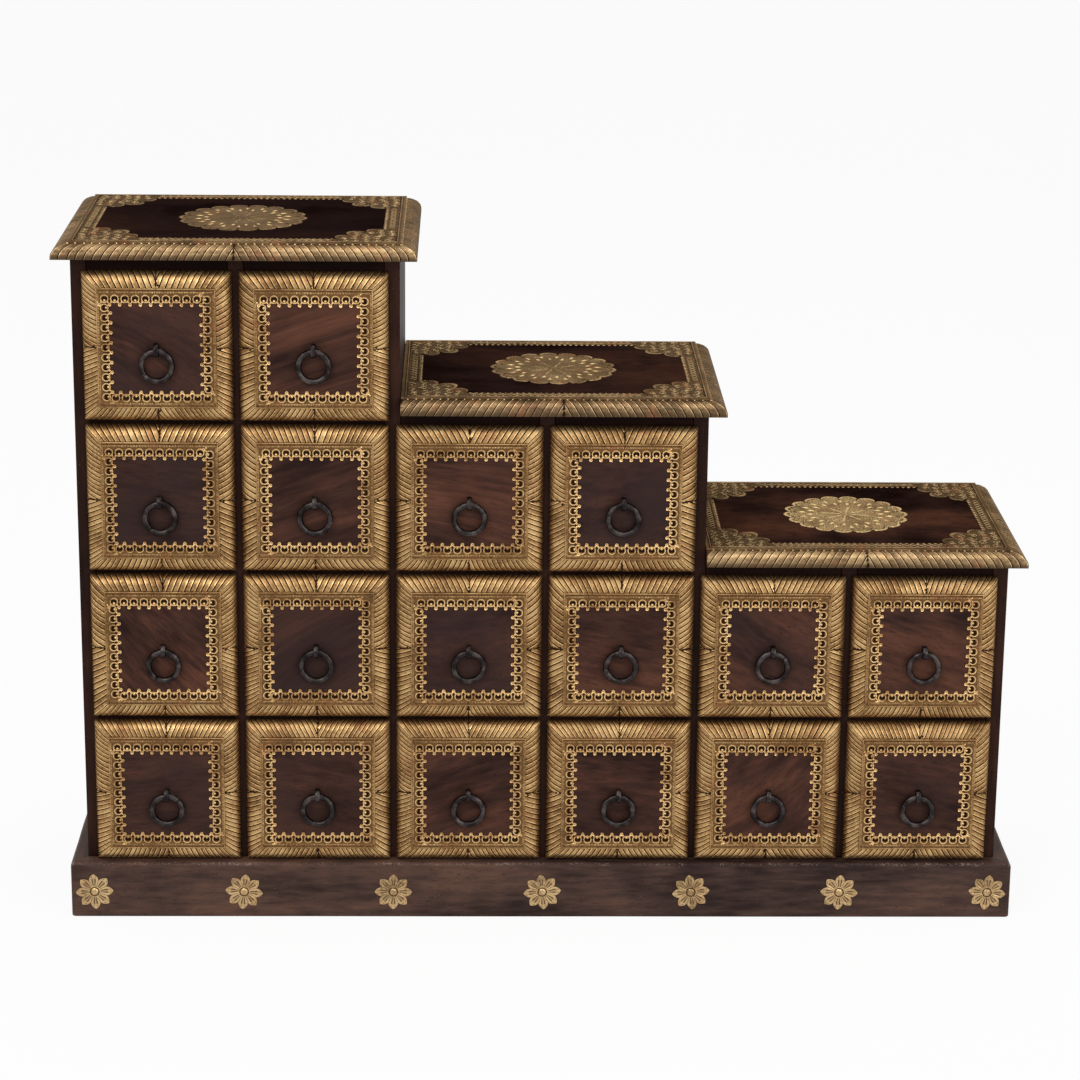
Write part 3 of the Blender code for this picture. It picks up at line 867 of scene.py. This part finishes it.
def bracket_outline(reach, strip, samples):
    """A bracket's cusped inner edge about the field's corner: three lobes, the middle one longest."""
    start = math.atan2(strip, reach)
    share = np.linspace(0, 1, samples)
    angle = start + (math.pi / 2 - 2 * start) * share
    lobes = np.abs(np.sin(3 * math.pi * share)) ** 0.55
    radius = reach * (0.88 + (0.13 + 0.09 * np.sin(math.pi * share)) * lobes)
    radius = np.where((share == 0) | (share == 1), math.hypot(reach, strip), radius)
    return radius * np.cos(angle), radius * np.sin(angle)


def border_lines(half_width, half_depth):
    """Outer and inner edge of a border, point by point round the field, starting at the front's left.

    Each corner gives a bracket's edge, with the outer edge running into the corner and out again.
    """
    across, up = bracket_outline(BRACKET_REACH, BORDER_STRIP, BRACKET_SAMPLES)
    share = np.linspace(1, -1, BRACKET_SAMPLES)
    outer_across = BRACKET_REACH * np.clip(share, 0, 1)
    outer_up = BRACKET_REACH * np.clip(-share, 0, 1)
    outer, inner = [], []
    for side_x, side_y, order in ((-1, -1, -1), (1, -1, 1), (1, 1, -1), (-1, 1, 1)):
        corner_x, corner_y = side_x * half_width, side_y * half_depth
        outside = np.stack([corner_x - side_x * outer_across, corner_y - side_y * outer_up], -1)
        inside = np.stack([corner_x - side_x * across, corner_y - side_y * up], -1)
        outer.append(outside[::order])
        inner.append(inside[::order])
    return np.concatenate(outer), np.concatenate(inner)


def ridge(path, width, height, base):
    """A rounded ridge along a path: a low arch of five points carried along it, square to it.

    The arch narrows towards both ends, and each end is closed.
    """
    ahead = np.gradient(path, axis=0)
    ahead = ahead / np.maximum(np.hypot(ahead[:, 0], ahead[:, 1]), 1e-9)[:, None]
    aside = np.stack([-ahead[:, 1], ahead[:, 0]], -1)
    across = np.array([-1.0, -0.6, 0.0, 0.6, 1.0]) * width / 2
    rise = np.array([0.0, 0.75, 1.0, 0.75, 0.0]) * height + base
    taper = np.sin(np.linspace(0.12, math.pi - 0.12, len(path)))[:, None] ** 0.4
    flat = path[:, None, :] + aside[:, None, :] * (across * taper)[..., None]
    points = np.concatenate([flat, (rise * np.ones_like(taper))[..., None]], -1)
    return capped(points), np.array([0.15, 0.8, 1.0, 0.8, 0.15])


def curl(centre, start, radius, turns, hand):
    """A spiral that winds in to its centre, as points in the plane."""
    share = np.linspace(0, 1, 19)
    angle = start + hand * math.tau * turns * share
    shrink = radius * (1 - 0.82 * share)
    return np.stack([centre[0] + shrink * np.cos(angle), centre[1] + shrink * np.sin(angle)], -1)


def vine(start, end, swing, waves):
    """A wavy line between two points, swinging to both sides."""
    share = np.linspace(0, 1, int(waves * 10) + 1)[:, None]
    start, end = np.array(start), np.array(end)
    run = end - start
    aside = np.array([-run[1], run[0]]) / np.hypot(*run)
    return start + run * share + aside * swing * np.sin(math.tau * waves * share)


for step in STEPS:
    place, half_width, half_depth = top_field(step, BORDER_MARGIN)
    field = np.array([half_width, half_depth])
    outer, inner = border_lines(half_width, half_depth)
    rim = np.stack([np.clip(outer, inset - field, field - inset) for inset in RIM_STEPS])
    lace = rim[-1] + (inner - rim[-1]) * LACE_SHARES[:, None, None]
    flat = np.concatenate([rim, lace])
    around = np.ones(len(outer))
    lift = np.concatenate([RIM_LIFT, LACE_LIFT])[:, None] * around
    mark = np.concatenate([RIM_RELIEF, LACE_RELIEF])[:, None] * around
    net = np.concatenate([0 * RIM_STEPS, LACE_SHARES < 0.95])[:, None] * BORDER_LACE * around
    points = np.concatenate([flat, lift[..., None]], -1) + place
    marks = {"relief": mark[:, ::-1], "tone": BORDER_SHINE, "lace": net[:, ::-1]}
    border = [sheet(points[:, ::-1], endless=True, **marks)]

    lines = []
    for side in ((-1, -1), (-1, 1), (1, -1), (1, 1)):
        for index, (across, up, radius) in enumerate(SCROLLS):
            centre = side * (field - np.array([across, up]) * BRACKET_REACH)
            hand = side[0] * side[1] * (-1) ** index
            lines.append(curl(centre, SCROLL_START * index, radius * BRACKET_REACH, SCROLL_TURNS, hand))
    run_x, run_y = field - BRACKET_REACH
    for side in (-1, 1):
        x, y = side * (field - BORDER_STRIP * VINE_SHARE)
        for swing in (-VINE_SWING, VINE_SWING):
            lines.append(vine((-run_x, y), (run_x, y), swing, round(run_x * 2 / VINE_WAVE)))
            lines.append(vine((x, -run_y), (x, run_y), swing, round(run_y * 2 / VINE_WAVE)))
    for index, line in enumerate(lines):
        height = RIDGE_HEIGHTS[index % len(RIDGE_HEIGHTS)]
        points, mark = ridge(line, RIDGE_WIDTH, height, 0.85 * BORDER_LIFT)
        border.append(sheet(points + place, relief=mark, tone=RIDGE_SHINE, lace=0.0))

    spots = []
    for run, other, swapped in ((run_x, half_depth, False), (run_y, half_width, True)):
        count = int(run * 2 / FRINGE_PITCH)
        along = np.linspace(-run, run, count + 1)
        for side in (-1, 1):
            across = np.full(count + 1, side * (other - BORDER_STRIP - 0.6 * FRINGE_RADIUS))
            pair = (across, along) if swapped else (along, across)
            spots.append(np.stack([*pair, np.zeros(count + 1)], -1))
    points, mark = domes(np.concatenate(spots) + place, FRINGE_RADIUS, 1.5 * BORDER_LIFT, sides=8)
    border.append(sheet(points, relief=mark, tone=FRINGE_SHINE, lace=0.0))
    new_piece("top_%s_brass_border" % step, border, top_brass, "carcass", sharp=BORDER_SHARP)

# Medallions: a round rosette of embossed sheet brass pinned to the middle of each field.
# Its rim has eighteen round petals with a drop between each two, and inside them stand a second ring
# of drops and eight narrow leaves.
MEDALLION_RADIUS = 51.0 * MM
MEDALLION_PETALS = 18
MEDALLION_LEAVES = 8
MEDALLION_LIFT = 0.5 * MM
MEDALLION_SKIRT = 0.1 * MM
MEDALLION_TURN = 0.3
MEDALLION_LACE = 0.78
MEDALLION_SHARP = math.radians(70)
# Painted light: each step's medallion is made brighter or darker as a whole, the low one brightest.
MEDALLION_PAINTED_LIGHT = {"tall": -0.15, "middle": 0.15, "low": 1.25}
MEDALLION_BRASS = (
    (0.105, 0.066, 0.034),
    (0.290, 0.190, 0.095),
    (0.92, 0.67, 0.33),
    (0.024, 0.013, 0.007),
)
medallion_brass = brass_finish("medallion_brass", MEDALLION_BRASS, age=0.35)


def medallion(radius, petals, lift):
    """A rosette as height over a disc, from the rim in to the centre, with its relief and its shine.

    The rim swells once for each petal, with cuts between petals and a raised line along them. Drops stand
    in two rings, each the product of a bump across and a bump along, and narrow leaves of one width run
    out from the centre. The shine is painted highlight on the drops, the leaves and the rim's edge, and
    a dark ring round each drop is sunk a little and partly painted shade.
    """
    angle = circle(petals * 22)
    wave = np.abs(np.sin(angle * petals / 2))
    rim = radius * (0.875 + 0.125 * wave**0.60)
    share = np.linspace(1.0, 0.0, 70)[:, None]
    out = rim * share
    petal = (angle * petals / math.tau) % 1.0 - 0.5
    between = (angle * petals / math.tau + 0.5) % 1.0 - 0.5
    edge = soft_rise(share, 0.94, 0.96) * (1 - soft_rise(share, 0.985, 1.0))
    groove = bell((share - 0.925) / 0.012) * (np.abs(petal) < 0.45)
    seam = bell(between / 0.050) * soft_rise(share, 0.83, 0.90)
    dots = bell((share - 0.89) / 0.016) * (0.5 + 0.5 * np.cos(angle * petals * 5))
    outer = bell(between / 0.092, (share - 0.775) / 0.056)
    inner = bell(petal / 0.110, (share - 0.57) / 0.052)
    leaf = (angle * MEDALLION_LEAVES / math.tau) % 1.0 - 0.5
    leaves = bell(leaf * share / 0.018) * soft_rise(share, 0.05, 0.12)
    leaves = leaves * (1 - soft_rise(share, 0.36, 0.44))
    hub = 1 - soft_rise(share, 0.03, 0.06)
    drops = np.clip(outer + inner, 0, 1)
    # Painted shade: a ring round each drop, sunk a little and darkened in the relief.
    around = bell(between / 0.15, (share - 0.775) / 0.085)
    around = around + bell(petal / 0.18, (share - 0.57) / 0.080) - drops
    raised = 0.5 * edge + 0.4 * dots + 1.6 * drops + 0.6 * leaves + 0.6 * hub
    cut = np.clip(seam + 0.7 * groove + 0.35 * around, 0, 1)
    height = lift * (0.8 + 0.8 * raised - 0.6 * cut)
    mark = np.clip(0.56 + 0.4 * raised - 0.85 * cut, 0, 1)
    # Painted highlights: the shine brightens the drops, the leaves and the rim's edge.
    shine = 0.1 + 2.6 * drops + 0.7 * leaves + 0.5 * edge
    skirt = round_grid(rim, angle, -MEDALLION_SKIRT)[None]
    points = np.concatenate([skirt * np.array([0, 0, 1]), skirt, round_grid(out, angle, height)])
    plain = np.full((2, angle.size), 0.3)
    return points, np.concatenate([plain, mark]), np.concatenate([plain, shine])


rosette, mark, shine = medallion(MEDALLION_RADIUS, MEDALLION_PETALS, MEDALLION_LIFT)
for step in STEPS:
    points = turned(rosette, draw.uniform(0, MEDALLION_TURN)) + top_field(step, 0.0)[0]
    tone = shine[:, ::-1] + MEDALLION_PAINTED_LIGHT[step]
    disc = sheet(points[:, ::-1], relief=mark[:, ::-1], tone=tone, lace=MEDALLION_LACE)
    new_piece("top_%s_medallion" % step, [disc], medallion_brass, "carcass", sharp=MEDALLION_SHARP)

# Drawer fronts: square boards of reddish wood with the tops' moulding all round, hidden under brass.
# Each laps over the edges of its compartment and carries the drawer's box on its back.
COLUMN_ROWS = (4, 4, 3, 3, 2, 2)
FRONT_GAP = 0.3 * MM
FRONT_RISE = 12.0 * MM
FRONT_STEP = 0.3 * MM
FRONT_SHADES = (-0.2, 0.7)
DRAWER_SEED_SPAN = 40
FRONT_TONES = (
    (0.020, 0.0090, 0.0074),
    (0.053, 0.0228, 0.0162),
    (0.108, 0.043, 0.026),
    (0.028, 0.0165, 0.0158),
)
front_wood = wood_finish(
    "front_wood", FRONT_TONES, stretch=(0.22, 1.0, 1.0), roughness=0.48, figure=26.0,
    specular=0.05, contrast=1.5, tilt=2.6,
)
front_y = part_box("side_left")[0].y
drawers = [
    "drawer_r%dc%d" % (row + 1, column + 1)
    for column, rows in enumerate(COLUMN_ROWS)
    for row in range(rows)
]


def front_middle(drawer):
    """Middle of a drawer's front, on the carcass's front plane, and half its width and height."""
    low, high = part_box(drawer)
    middle = ((low.x + high.x) / 2, front_y - FRONT_GAP, (low.z + high.z) / 2)
    return middle, (high.x - low.x) / 2, (high.z - low.z) / 2


def front_board(half_width, half_height):
    """A front as rings of four corners: its back, in under the brass along the moulding, and the field."""
    inset, rise, _, _ = moulding(FRONT_RISE, BOARD_FACETS)
    inset = np.concatenate([[0.0], inset, [MOULDING_WIDTH, MOULDING_WIDTH]]) + BRASS_SEAT
    rise = np.concatenate([[0.0], rise - BRASS_SEAT, [FRONT_RISE - FRONT_STEP, FRONT_RISE]])
    rise = np.maximum(rise, 0.0)
    x, y = half_width - inset, half_height - inset
    return ring_stack(-x, x, -y, y, rise)


for drawer in drawers:
    middle, half_width, half_height = front_middle(drawer)
    points = on_front(front_board(half_width, half_height), *middle)
    looks = {"seed": draw.uniform(0, DRAWER_SEED_SPAN), "tone": draw.uniform(*FRONT_SHADES)}
    board = sheet(points[:, ::-1], **looks)
    new_piece(drawer + "_front", [board], front_wood, drawer, [drawer])

# Drawer boxes: two sides, a back and a bottom of plain thin board, nailed behind the front's tongue.
# The wood is bare inside and paler than the front.
BOX_WALL = 8.0 * MM
BOX_FLOOR = 5.0 * MM
BOX_TONGUE = 6.0 * MM
BOX_EASE = 0.7 * MM
BOX_SIDE_PLAY = 1.0 * MM
BOX_HEADROOM = 6.5 * MM
BOX_REAR_SPACE = 12.0 * MM
BOX_BACK_DROP = 1.0 * MM
BOX_TONES = ((0.060, 0.033, 0.020), (0.120, 0.070, 0.042), (0.190, 0.120, 0.074), (0.075, 0.045, 0.030))
box_wood = wood_finish(
    "box_wood", BOX_TONES, stretch=(1.0, 0.12, 1.0), roughness=0.60, figure=22.0, dust=0.15
)

half_opening = (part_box("partition_1")[0].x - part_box("side_left")[1].x) / 2
board_back_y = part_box("side_left")[1].y
levels = [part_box(shelf) for shelf in shelves]


def plank(low, high, ease):
    """A board with eased edges: a rounded rectangle carried through the thickness, closed at both ends.

    The rectangle lies across the board's two longer directions, and shrinks a little at both faces.
    """
    low, high = np.array(low), np.array(high)
    thin = int(np.argmin(high - low))
    wide = [(thin + 1) % 3, (thin + 2) % 3]
    corner = np.array([[-1, -1], [-1, 1], [1, 1], [1, -1]])
    half, middle = (high - low) / 2, (high + low) / 2
    levels = np.array([-1.0, -1.0, -1.0, 1.0, 1.0, 1.0]) * half[thin]
    levels += np.array([0.0, 0.0, 1.0, -1.0, 0.0, 0.0]) * ease
    shrink = np.array([np.inf, ease, 0.0, 0.0, ease, np.inf])[:, None]
    grid = np.zeros((6, 4, 3))
    for axis, side in zip(wide, corner.T):
        grid[..., axis] = side * np.maximum(half[axis] - shrink, 0.0)
    grid[..., thin] = levels[:, None]
    return grid + middle


for drawer in drawers:
    (x, _, z), _, _ = front_middle(drawer)
    row = int(drawer[-3]) - 1
    left, right = x - half_opening + BOX_SIDE_PLAY, x + half_opening - BOX_SIDE_PLAY
    bottom, top = levels[row][1].z + FRONT_GAP, levels[row + 1][0].z - BOX_HEADROOM
    front, back = front_y - FRONT_GAP, board_back_y - BOX_REAR_SPACE
    inside = front + FRONT_GAP + BOX_TONGUE
    inner_left, inner_right, inner_back = left + BOX_WALL, right - BOX_WALL, back - BOX_WALL
    planks = [
        ((left, front, bottom), (right, inside, top)),
        ((left, inside, bottom), (inner_left, back, top)),
        ((inner_right, inside, bottom), (right, back, top)),
        ((inner_left, inner_back, bottom + BOX_FLOOR), (inner_right, back, top - BOX_BACK_DROP)),
        ((inner_left, inside, bottom), (inner_right, back, bottom + BOX_FLOOR)),
    ]
    seed = draw.uniform(0, DRAWER_SEED_SPAN)
    grids = [plank(*ends, BOX_EASE) for ends in planks]
    boards = [sheet(grid, seed=seed + index) for index, grid in enumerate(grids)]
    new_piece(drawer + "_box", boards, box_wood, drawer)

# Front edges: four strips of sheet brass dressed over the moulding, mitred, and chased like feathers.
# Every strip was cut by eye, so the lines' pitch and lean differ, and a pin holds it at its middle.
FRONT_LINE_PITCH = (3.6 * MM, 4.9 * MM)
FRONT_LINE_LEAN = (7.0 * MM, 11.0 * MM)
FRONT_LINE_CUT = 0.28 * MM
FRONT_LINE_HALF_WIDTH = 0.125
FRONT_LOBE_CROWN = 0.06 * MM
FRONT_FACETS = 7
FRONT_STRENGTH = np.concatenate([[0.0, 0.5], np.linspace(0.9, 1.0, 6), [0.9]])
# Painted shade: the relief is lowered on the outer lip of each front's moulding, so it comes out darker, as
# if in shade.
FRONT_RIM_PAINTED_SHADE = np.array([0.55, 0.62, 0.78, 0.92, 1.0, 1.0, 1.0, 1.0, 0.95])
EDGE_PIN_INSET = 8.0 * MM
EDGE_PIN_SCATTER = 1.0 * MM
EDGE_PIN_RADIUS = 1.0 * MM
EDGE_PIN_HEIGHT = 0.7 * MM
FRONT_BRASS = (
    (0.150, 0.080, 0.032),
    (0.385, 0.216, 0.085),
    (0.80, 0.535, 0.245),
    (0.022, 0.010, 0.005),
)
front_brass = brass_finish("front_brass", FRONT_BRASS, age=0.60)


def round_frame(sides, half_width, half_height):
    """Lay four sides round a rectangle, front first, and join their columns to one closed band."""
    laid = []
    for turns, (along, inset, rise, _, _) in enumerate(sides):
        laid.append(lay_side(along, inset, rise, half_width if turns % 2 else half_height, turns))
    return np.concatenate(laid), *(np.concatenate([side[index] for side in sides]) for index in (3, 4))


front_profile = moulding(FRONT_RISE, FRONT_FACETS)
front_pattern = lobe_pattern(FRONT_LINE_CUT, FRONT_LOBE_CROWN, FRONT_LINE_HALF_WIDTH)
for drawer in drawers:
    middle, half_width, half_height = front_middle(drawer)
    sides, pins = [], []
    for turns in range(4):
        half, distance = (half_height, half_width) if turns % 2 else (half_width, half_height)
        slant = (draw.uniform(*FRONT_LINE_PITCH), draw.uniform(*FRONT_LINE_LEAN))
        ends = ((half, front_profile[0]),) * 2
        sides.append(chased_side(ends, front_profile, FRONT_STRENGTH, *slant, front_pattern))
        seat = np.array([draw.normal(0, 1.0) * EDGE_PIN_SCATTER])
        inset = EDGE_PIN_INSET + np.abs(seat)
        pins.append(lay_side(seat, inset, np.interp(inset, *front_profile[:2]), distance, turns))
    points, mark, tone = round_frame(sides, half_width, half_height)
    skin = sheet(on_front(points, *middle), endless=True, relief=mark * FRONT_RIM_PAINTED_SHADE, tone=tone)
    points, mark = domes(np.concatenate(pins), EDGE_PIN_RADIUS, EDGE_PIN_HEIGHT, sides=8, relief=0.1)
    pins = sheet(on_front(points, *middle), relief=mark, tone=0.5)
    new_piece(drawer + "_brass_edge", [skin, pins], front_brass, drawer)

# Front borders: a stamped brass strip on each side of the field, with a bead, a milled line and a chain.
# The chain's rings hold a bud each, and a trefoil hangs between each two rings over the wood.
CHAIN_HALF = 39.3 * MM
CHAIN_RINGS = 10
CHAIN_PITCH = 2 * CHAIN_HALF / CHAIN_RINGS
CHAIN_START = (0.80, 0.98)
CHAIN_RADIUS = 3.65 * MM
CHAIN_HEIGHT = 0.9 * MM
CHAIN_SHINE = 0.7
RING_RIMS = ((0.0, -0.3), (1.0, 0.30), (0.92, 1.0), (0.71, 0.90), (0.64, 0.15), (0.0, 0.12))
RING_RELIEFS = (0.2, 0.7, 1.0, 1.0, -0.4, -0.4)
BUD_INWARD = 1.5 * MM
BUD_RADIUS = 1.3 * MM
BUD_HEIGHT = 0.85 * MM
DROP_INWARD = 4.7 * MM
DROP_RADIUS = 1.7 * MM
DROP_HEIGHT = 0.8 * MM
DROP_RIMS = ((0.0, -0.3), (1.0, 0.30), (0.80, 1.0), (0.50, 0.70), (0.0, 0.50))
DROP_RELIEFS = (-0.4, -0.1, 1.0, 0.8, 0.6)
LOBE_INWARD = 2.9 * MM
LOBE_ASIDE = 1.3 * MM
LOBE_RADIUS = 1.05 * MM
LOBE_HEIGHT = 0.8 * MM
LOBE_FOOT = -0.4
BEAD_STEPS = np.array([0.0, -0.1, -0.05, 0.35, 0.8, 1.1]) * MM
BAND_PAST_CHAIN = 1.6 * MM
BAND_PITCH = 30.0 * MM
BAND_RISE = np.array([-1.6, -0.9, 0.30, 0.65, 0.50, 0.35, 0.35, -0.3]) * MM
BAND_RELIEF = np.array([0.30, 0.30, 0.7, 0.85, 0.6, 0.30, 0.45, 0.2])
BAND_PATTERN = (np.array([0.0]), np.array([0.0]), np.array([0.75]), np.array([0.0]))
MILL_PAST_CHAIN = 4.9 * MM
MILL_PITCH = 1.2 * MM
MILL_STEPS = np.array([-0.9, -0.4, 0.4, 0.9]) * MM
MILL_RISE = np.array([0.15, 0.50, 0.50, 0.15]) * MM
MILL_STRENGTH = np.array([0.0, 1.0, 1.0, 0.0])
MILL_PATTERN = (
    np.array([0.0, 0.25, 0.5, 0.75]),
    np.array([-0.2, -0.1, 0.1, 0.1]) * MM,
    np.array([0.0, 0.1, 1.0, 1.0]),
    np.zeros(4),
)


def band_insets(half):
    """Insets of the flat band's lines, from the bead in to the chain, at half a front's size."""
    inner = half - CHAIN_HALF - BAND_PAST_CHAIN
    return np.append(MOULDING_WIDTH + BEAD_STEPS, [inner, inner])


def mill_insets(half):
    """Insets of the milled line's lines, outside the chain, at half a front's size."""
    return half - CHAIN_HALF - MILL_PAST_CHAIN + MILL_STEPS


def framed(halves, insets, rise, strength, pitch, pattern):
    """A flat strip round the field, its insets given for each half size, as one closed band."""
    sides = []
    for turns in range(4):
        half, distance = halves if turns % 2 == 0 else halves[::-1]
        flat = (insets(distance), rise, 0 * rise, 0 * rise + 1)
        ends = ((half, insets(half)),) * 2
        sides.append(chased_side(ends, flat, strength, pitch, 0.0, pattern))
    return round_frame(sides, *halves)


def chain_places():
    """Centres of the chain's rings and the direction to the field's middle, all round a square.

    Each side has the same number of rings, and starts and ends a little differently.
    """
    across, inward = [], []
    for turns in range(4):
        along = (np.arange(CHAIN_RINGS) + draw.uniform(*CHAIN_START)) * CHAIN_PITCH - CHAIN_HALF
        line = lay_side(along, np.zeros(CHAIN_RINGS), 0.0, CHAIN_HALF, turns)
        turn = turns * math.pi / 2
        across.append(line)
        inward.append(np.broadcast_to([-math.sin(turn), math.cos(turn), 0.0], line.shape))
    return np.concatenate(across), np.concatenate(inward)


for drawer in drawers:
    (x, y, z), *halves = front_middle(drawer)
    middle = (x, y - FRONT_RISE, z)
    points, mark, tone = framed(halves, band_insets, BAND_RISE, 0 * BAND_RISE, BAND_PITCH, BAND_PATTERN)
    border = [sheet(on_front(points, *middle), endless=True, relief=BAND_RELIEF, tone=tone)]
    points, mark, tone = framed(halves, mill_insets, MILL_RISE, MILL_STRENGTH, MILL_PITCH, MILL_PATTERN)
    border.append(sheet(on_front(points, *middle), endless=True, relief=mark, tone=tone))

    centres, inward = chain_places()
    aside = np.stack([-inward[:, 1], inward[:, 0], inward[:, 2]], -1)
    between = centres - aside * CHAIN_PITCH / 2
    lobes = between + inward * LOBE_INWARD
    tone = draw.uniform(0.2, 0.8) + CHAIN_SHINE
    motifs = [
        bosses(centres, CHAIN_RADIUS, CHAIN_HEIGHT, 10, RING_RIMS, RING_RELIEFS),
        domes(centres + inward * BUD_INWARD, BUD_RADIUS, BUD_HEIGHT, sides=8, relief=0.85),
        bosses(between + inward * DROP_INWARD, DROP_RADIUS, DROP_HEIGHT, 8, DROP_RIMS, DROP_RELIEFS),
        domes(lobes + aside * LOBE_ASIDE, LOBE_RADIUS, LOBE_HEIGHT, foot=LOBE_FOOT),
        domes(lobes - aside * LOBE_ASIDE, LOBE_RADIUS, LOBE_HEIGHT, foot=LOBE_FOOT),
    ]
    for points, mark in motifs:
        border.append(sheet(on_front(points, *middle), relief=mark, tone=tone))
    new_piece(drawer + "_brass_border", border, front_brass, drawer, sharp=BORDER_SHARP)

# Eyes: a flat iron strap bent to a loop, its legs driven through the front and clinched inside.
# The loop stands upright in the middle of the front and the ring hangs in it.
EYE_RADIUS = 4.75 * MM
EYE_WIDTH = 3.7 * MM
EYE_STRAP = 1.5 * MM
EYE_SINK = 1.2 * MM
EYE_LEG = 11.0 * MM
EYE_LEG_STAND = 0.7 * MM
IRON_CLOUD_SCALE = 130.0
IRON_PIT_SCALE = 520.0
IRON_DARK = (0.015, 0.0122, 0.0118)
IRON_PALE = (0.064, 0.054, 0.052)
IRON_RUST = (0.070, 0.035, 0.020)
ACROSS = np.array([1.0, 0.0, 0.0])


def iron_finish(name):
    """Forged iron, waxed black: dark, with a dull shine where it is rubbed and rust in its pits."""
    finish, root = new_finish(name)
    place = root.node("TexCoord", output="Object")
    clouds = noise(place, IRON_CLOUD_SCALE, 3.0)
    pits = noise(place, IRON_PIT_SCALE, 3.0)
    rust = soft_step(clouds + pits * 0.5, 0.82, 1.02)
    colour = blend(soft_step(clouds, 0.35, 0.7), IRON_DARK, IRON_PALE)
    colour = blend(rust * 0.5, colour, IRON_RUST)
    looks = {"Base Color": colour, "Roughness": clouds * 0.20 + 0.25, "Metallic": 1 - rust * 0.7}
    principled(root, {**looks, "Normal": bump(pits, 0.4, 0.4 * MM)})
    return finish


ring_iron = iron_finish("ring_iron")


def strap(path, aside, width, thickness):
    """A flat strap with rounded edges: a squared oval carried along a path in an upright plane."""
    ahead = np.gradient(path, axis=0)
    ahead = ahead / np.linalg.norm(ahead, axis=1)[:, None]
    out = np.cross(ahead, aside)
    turn = -circle(12)
    across = np.sign(np.cos(turn)) * np.abs(np.cos(turn)) ** 0.45 * width / 2
    through = np.sign(np.sin(turn)) * np.abs(np.sin(turn)) ** 0.6 * thickness / 2
    return path[:, None] + across[None, :, None] * aside + through[None, :, None] * out[:, None]


for drawer in drawers:
    (x, y, z), _, _ = front_middle(drawer)
    field_y = y - FRONT_RISE
    centre = np.array([x, field_y - EYE_RADIUS - EYE_STRAP / 2 + EYE_SINK, z])
    turn = np.linspace(0, math.tau, 37)
    path = centre + EYE_RADIUS * np.stack([0 * turn, np.cos(turn), np.sin(turn)], -1)
    irons = [sheet(strap(path, ACROSS, EYE_WIDTH, EYE_STRAP)[:-1], endless=True)]
    leg_start = np.array([x, front_y + BOX_TONGUE + EYE_LEG_STAND, z])
    for side in (-1, 1):
        leg = np.linspace(0.03, 1, 9)[:, None]
        path = leg_start + np.array([0.0, 0.0, side * EYE_LEG]) * leg
        irons.append(sheet(capped(strap(path, ACROSS, EYE_WIDTH, EYE_STRAP))))
    new_piece(drawer + "_eye", irons, ring_iron, drawer)

# Rings: a length of round iron bar bent to a circle by hand, its two ends left butting together.
# Each hangs in its drawer's eye and swings forward and up.
RING_RADIUS = 11.85 * MM
RING_WIRE = 2.45 * MM
WIRE_SHARES = (0.96, 1.02)
JOINT_ANGLES = (-0.6, 1.2)


def bent_ring(centre, radius, wire, joint):
    """A round bar carried along a circle in the front's plane, with a shallow nick where its ends meet."""
    angle = circle(80)[:, None]
    turn = circle(14)
    away = np.abs((angle - joint + math.pi) % math.tau - math.pi)
    thick = wire * (1 - 0.34 * bell(away / 0.045) + 0.03 * np.sin(3 * angle + joint))
    swing = radius * (1 + 0.012 * np.sin(2 * angle + joint) * np.sin(angle / 2 - math.pi / 4) ** 2)
    grid = round_grid(swing + thick * np.cos(turn), angle, thick * np.sin(turn))
    return on_front(grid, *centre)


for drawer in drawers:
    ring = drawer.replace("drawer", "ring")
    low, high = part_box(ring)
    wire = RING_WIRE * draw.uniform(*WIRE_SHARES)
    joint = draw.uniform(*JOINT_ANGLES) + math.pi * draw.integers(0, 2)
    bar = sheet(bent_ring((low + high) / 2, RING_RADIUS, wire, joint), endless=True)
    new_piece(ring + "_bar", [bar], ring_iron, ring, [ring])

# Sizes: the box of the solids and the box of the dressed chest, in metres.
low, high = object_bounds()
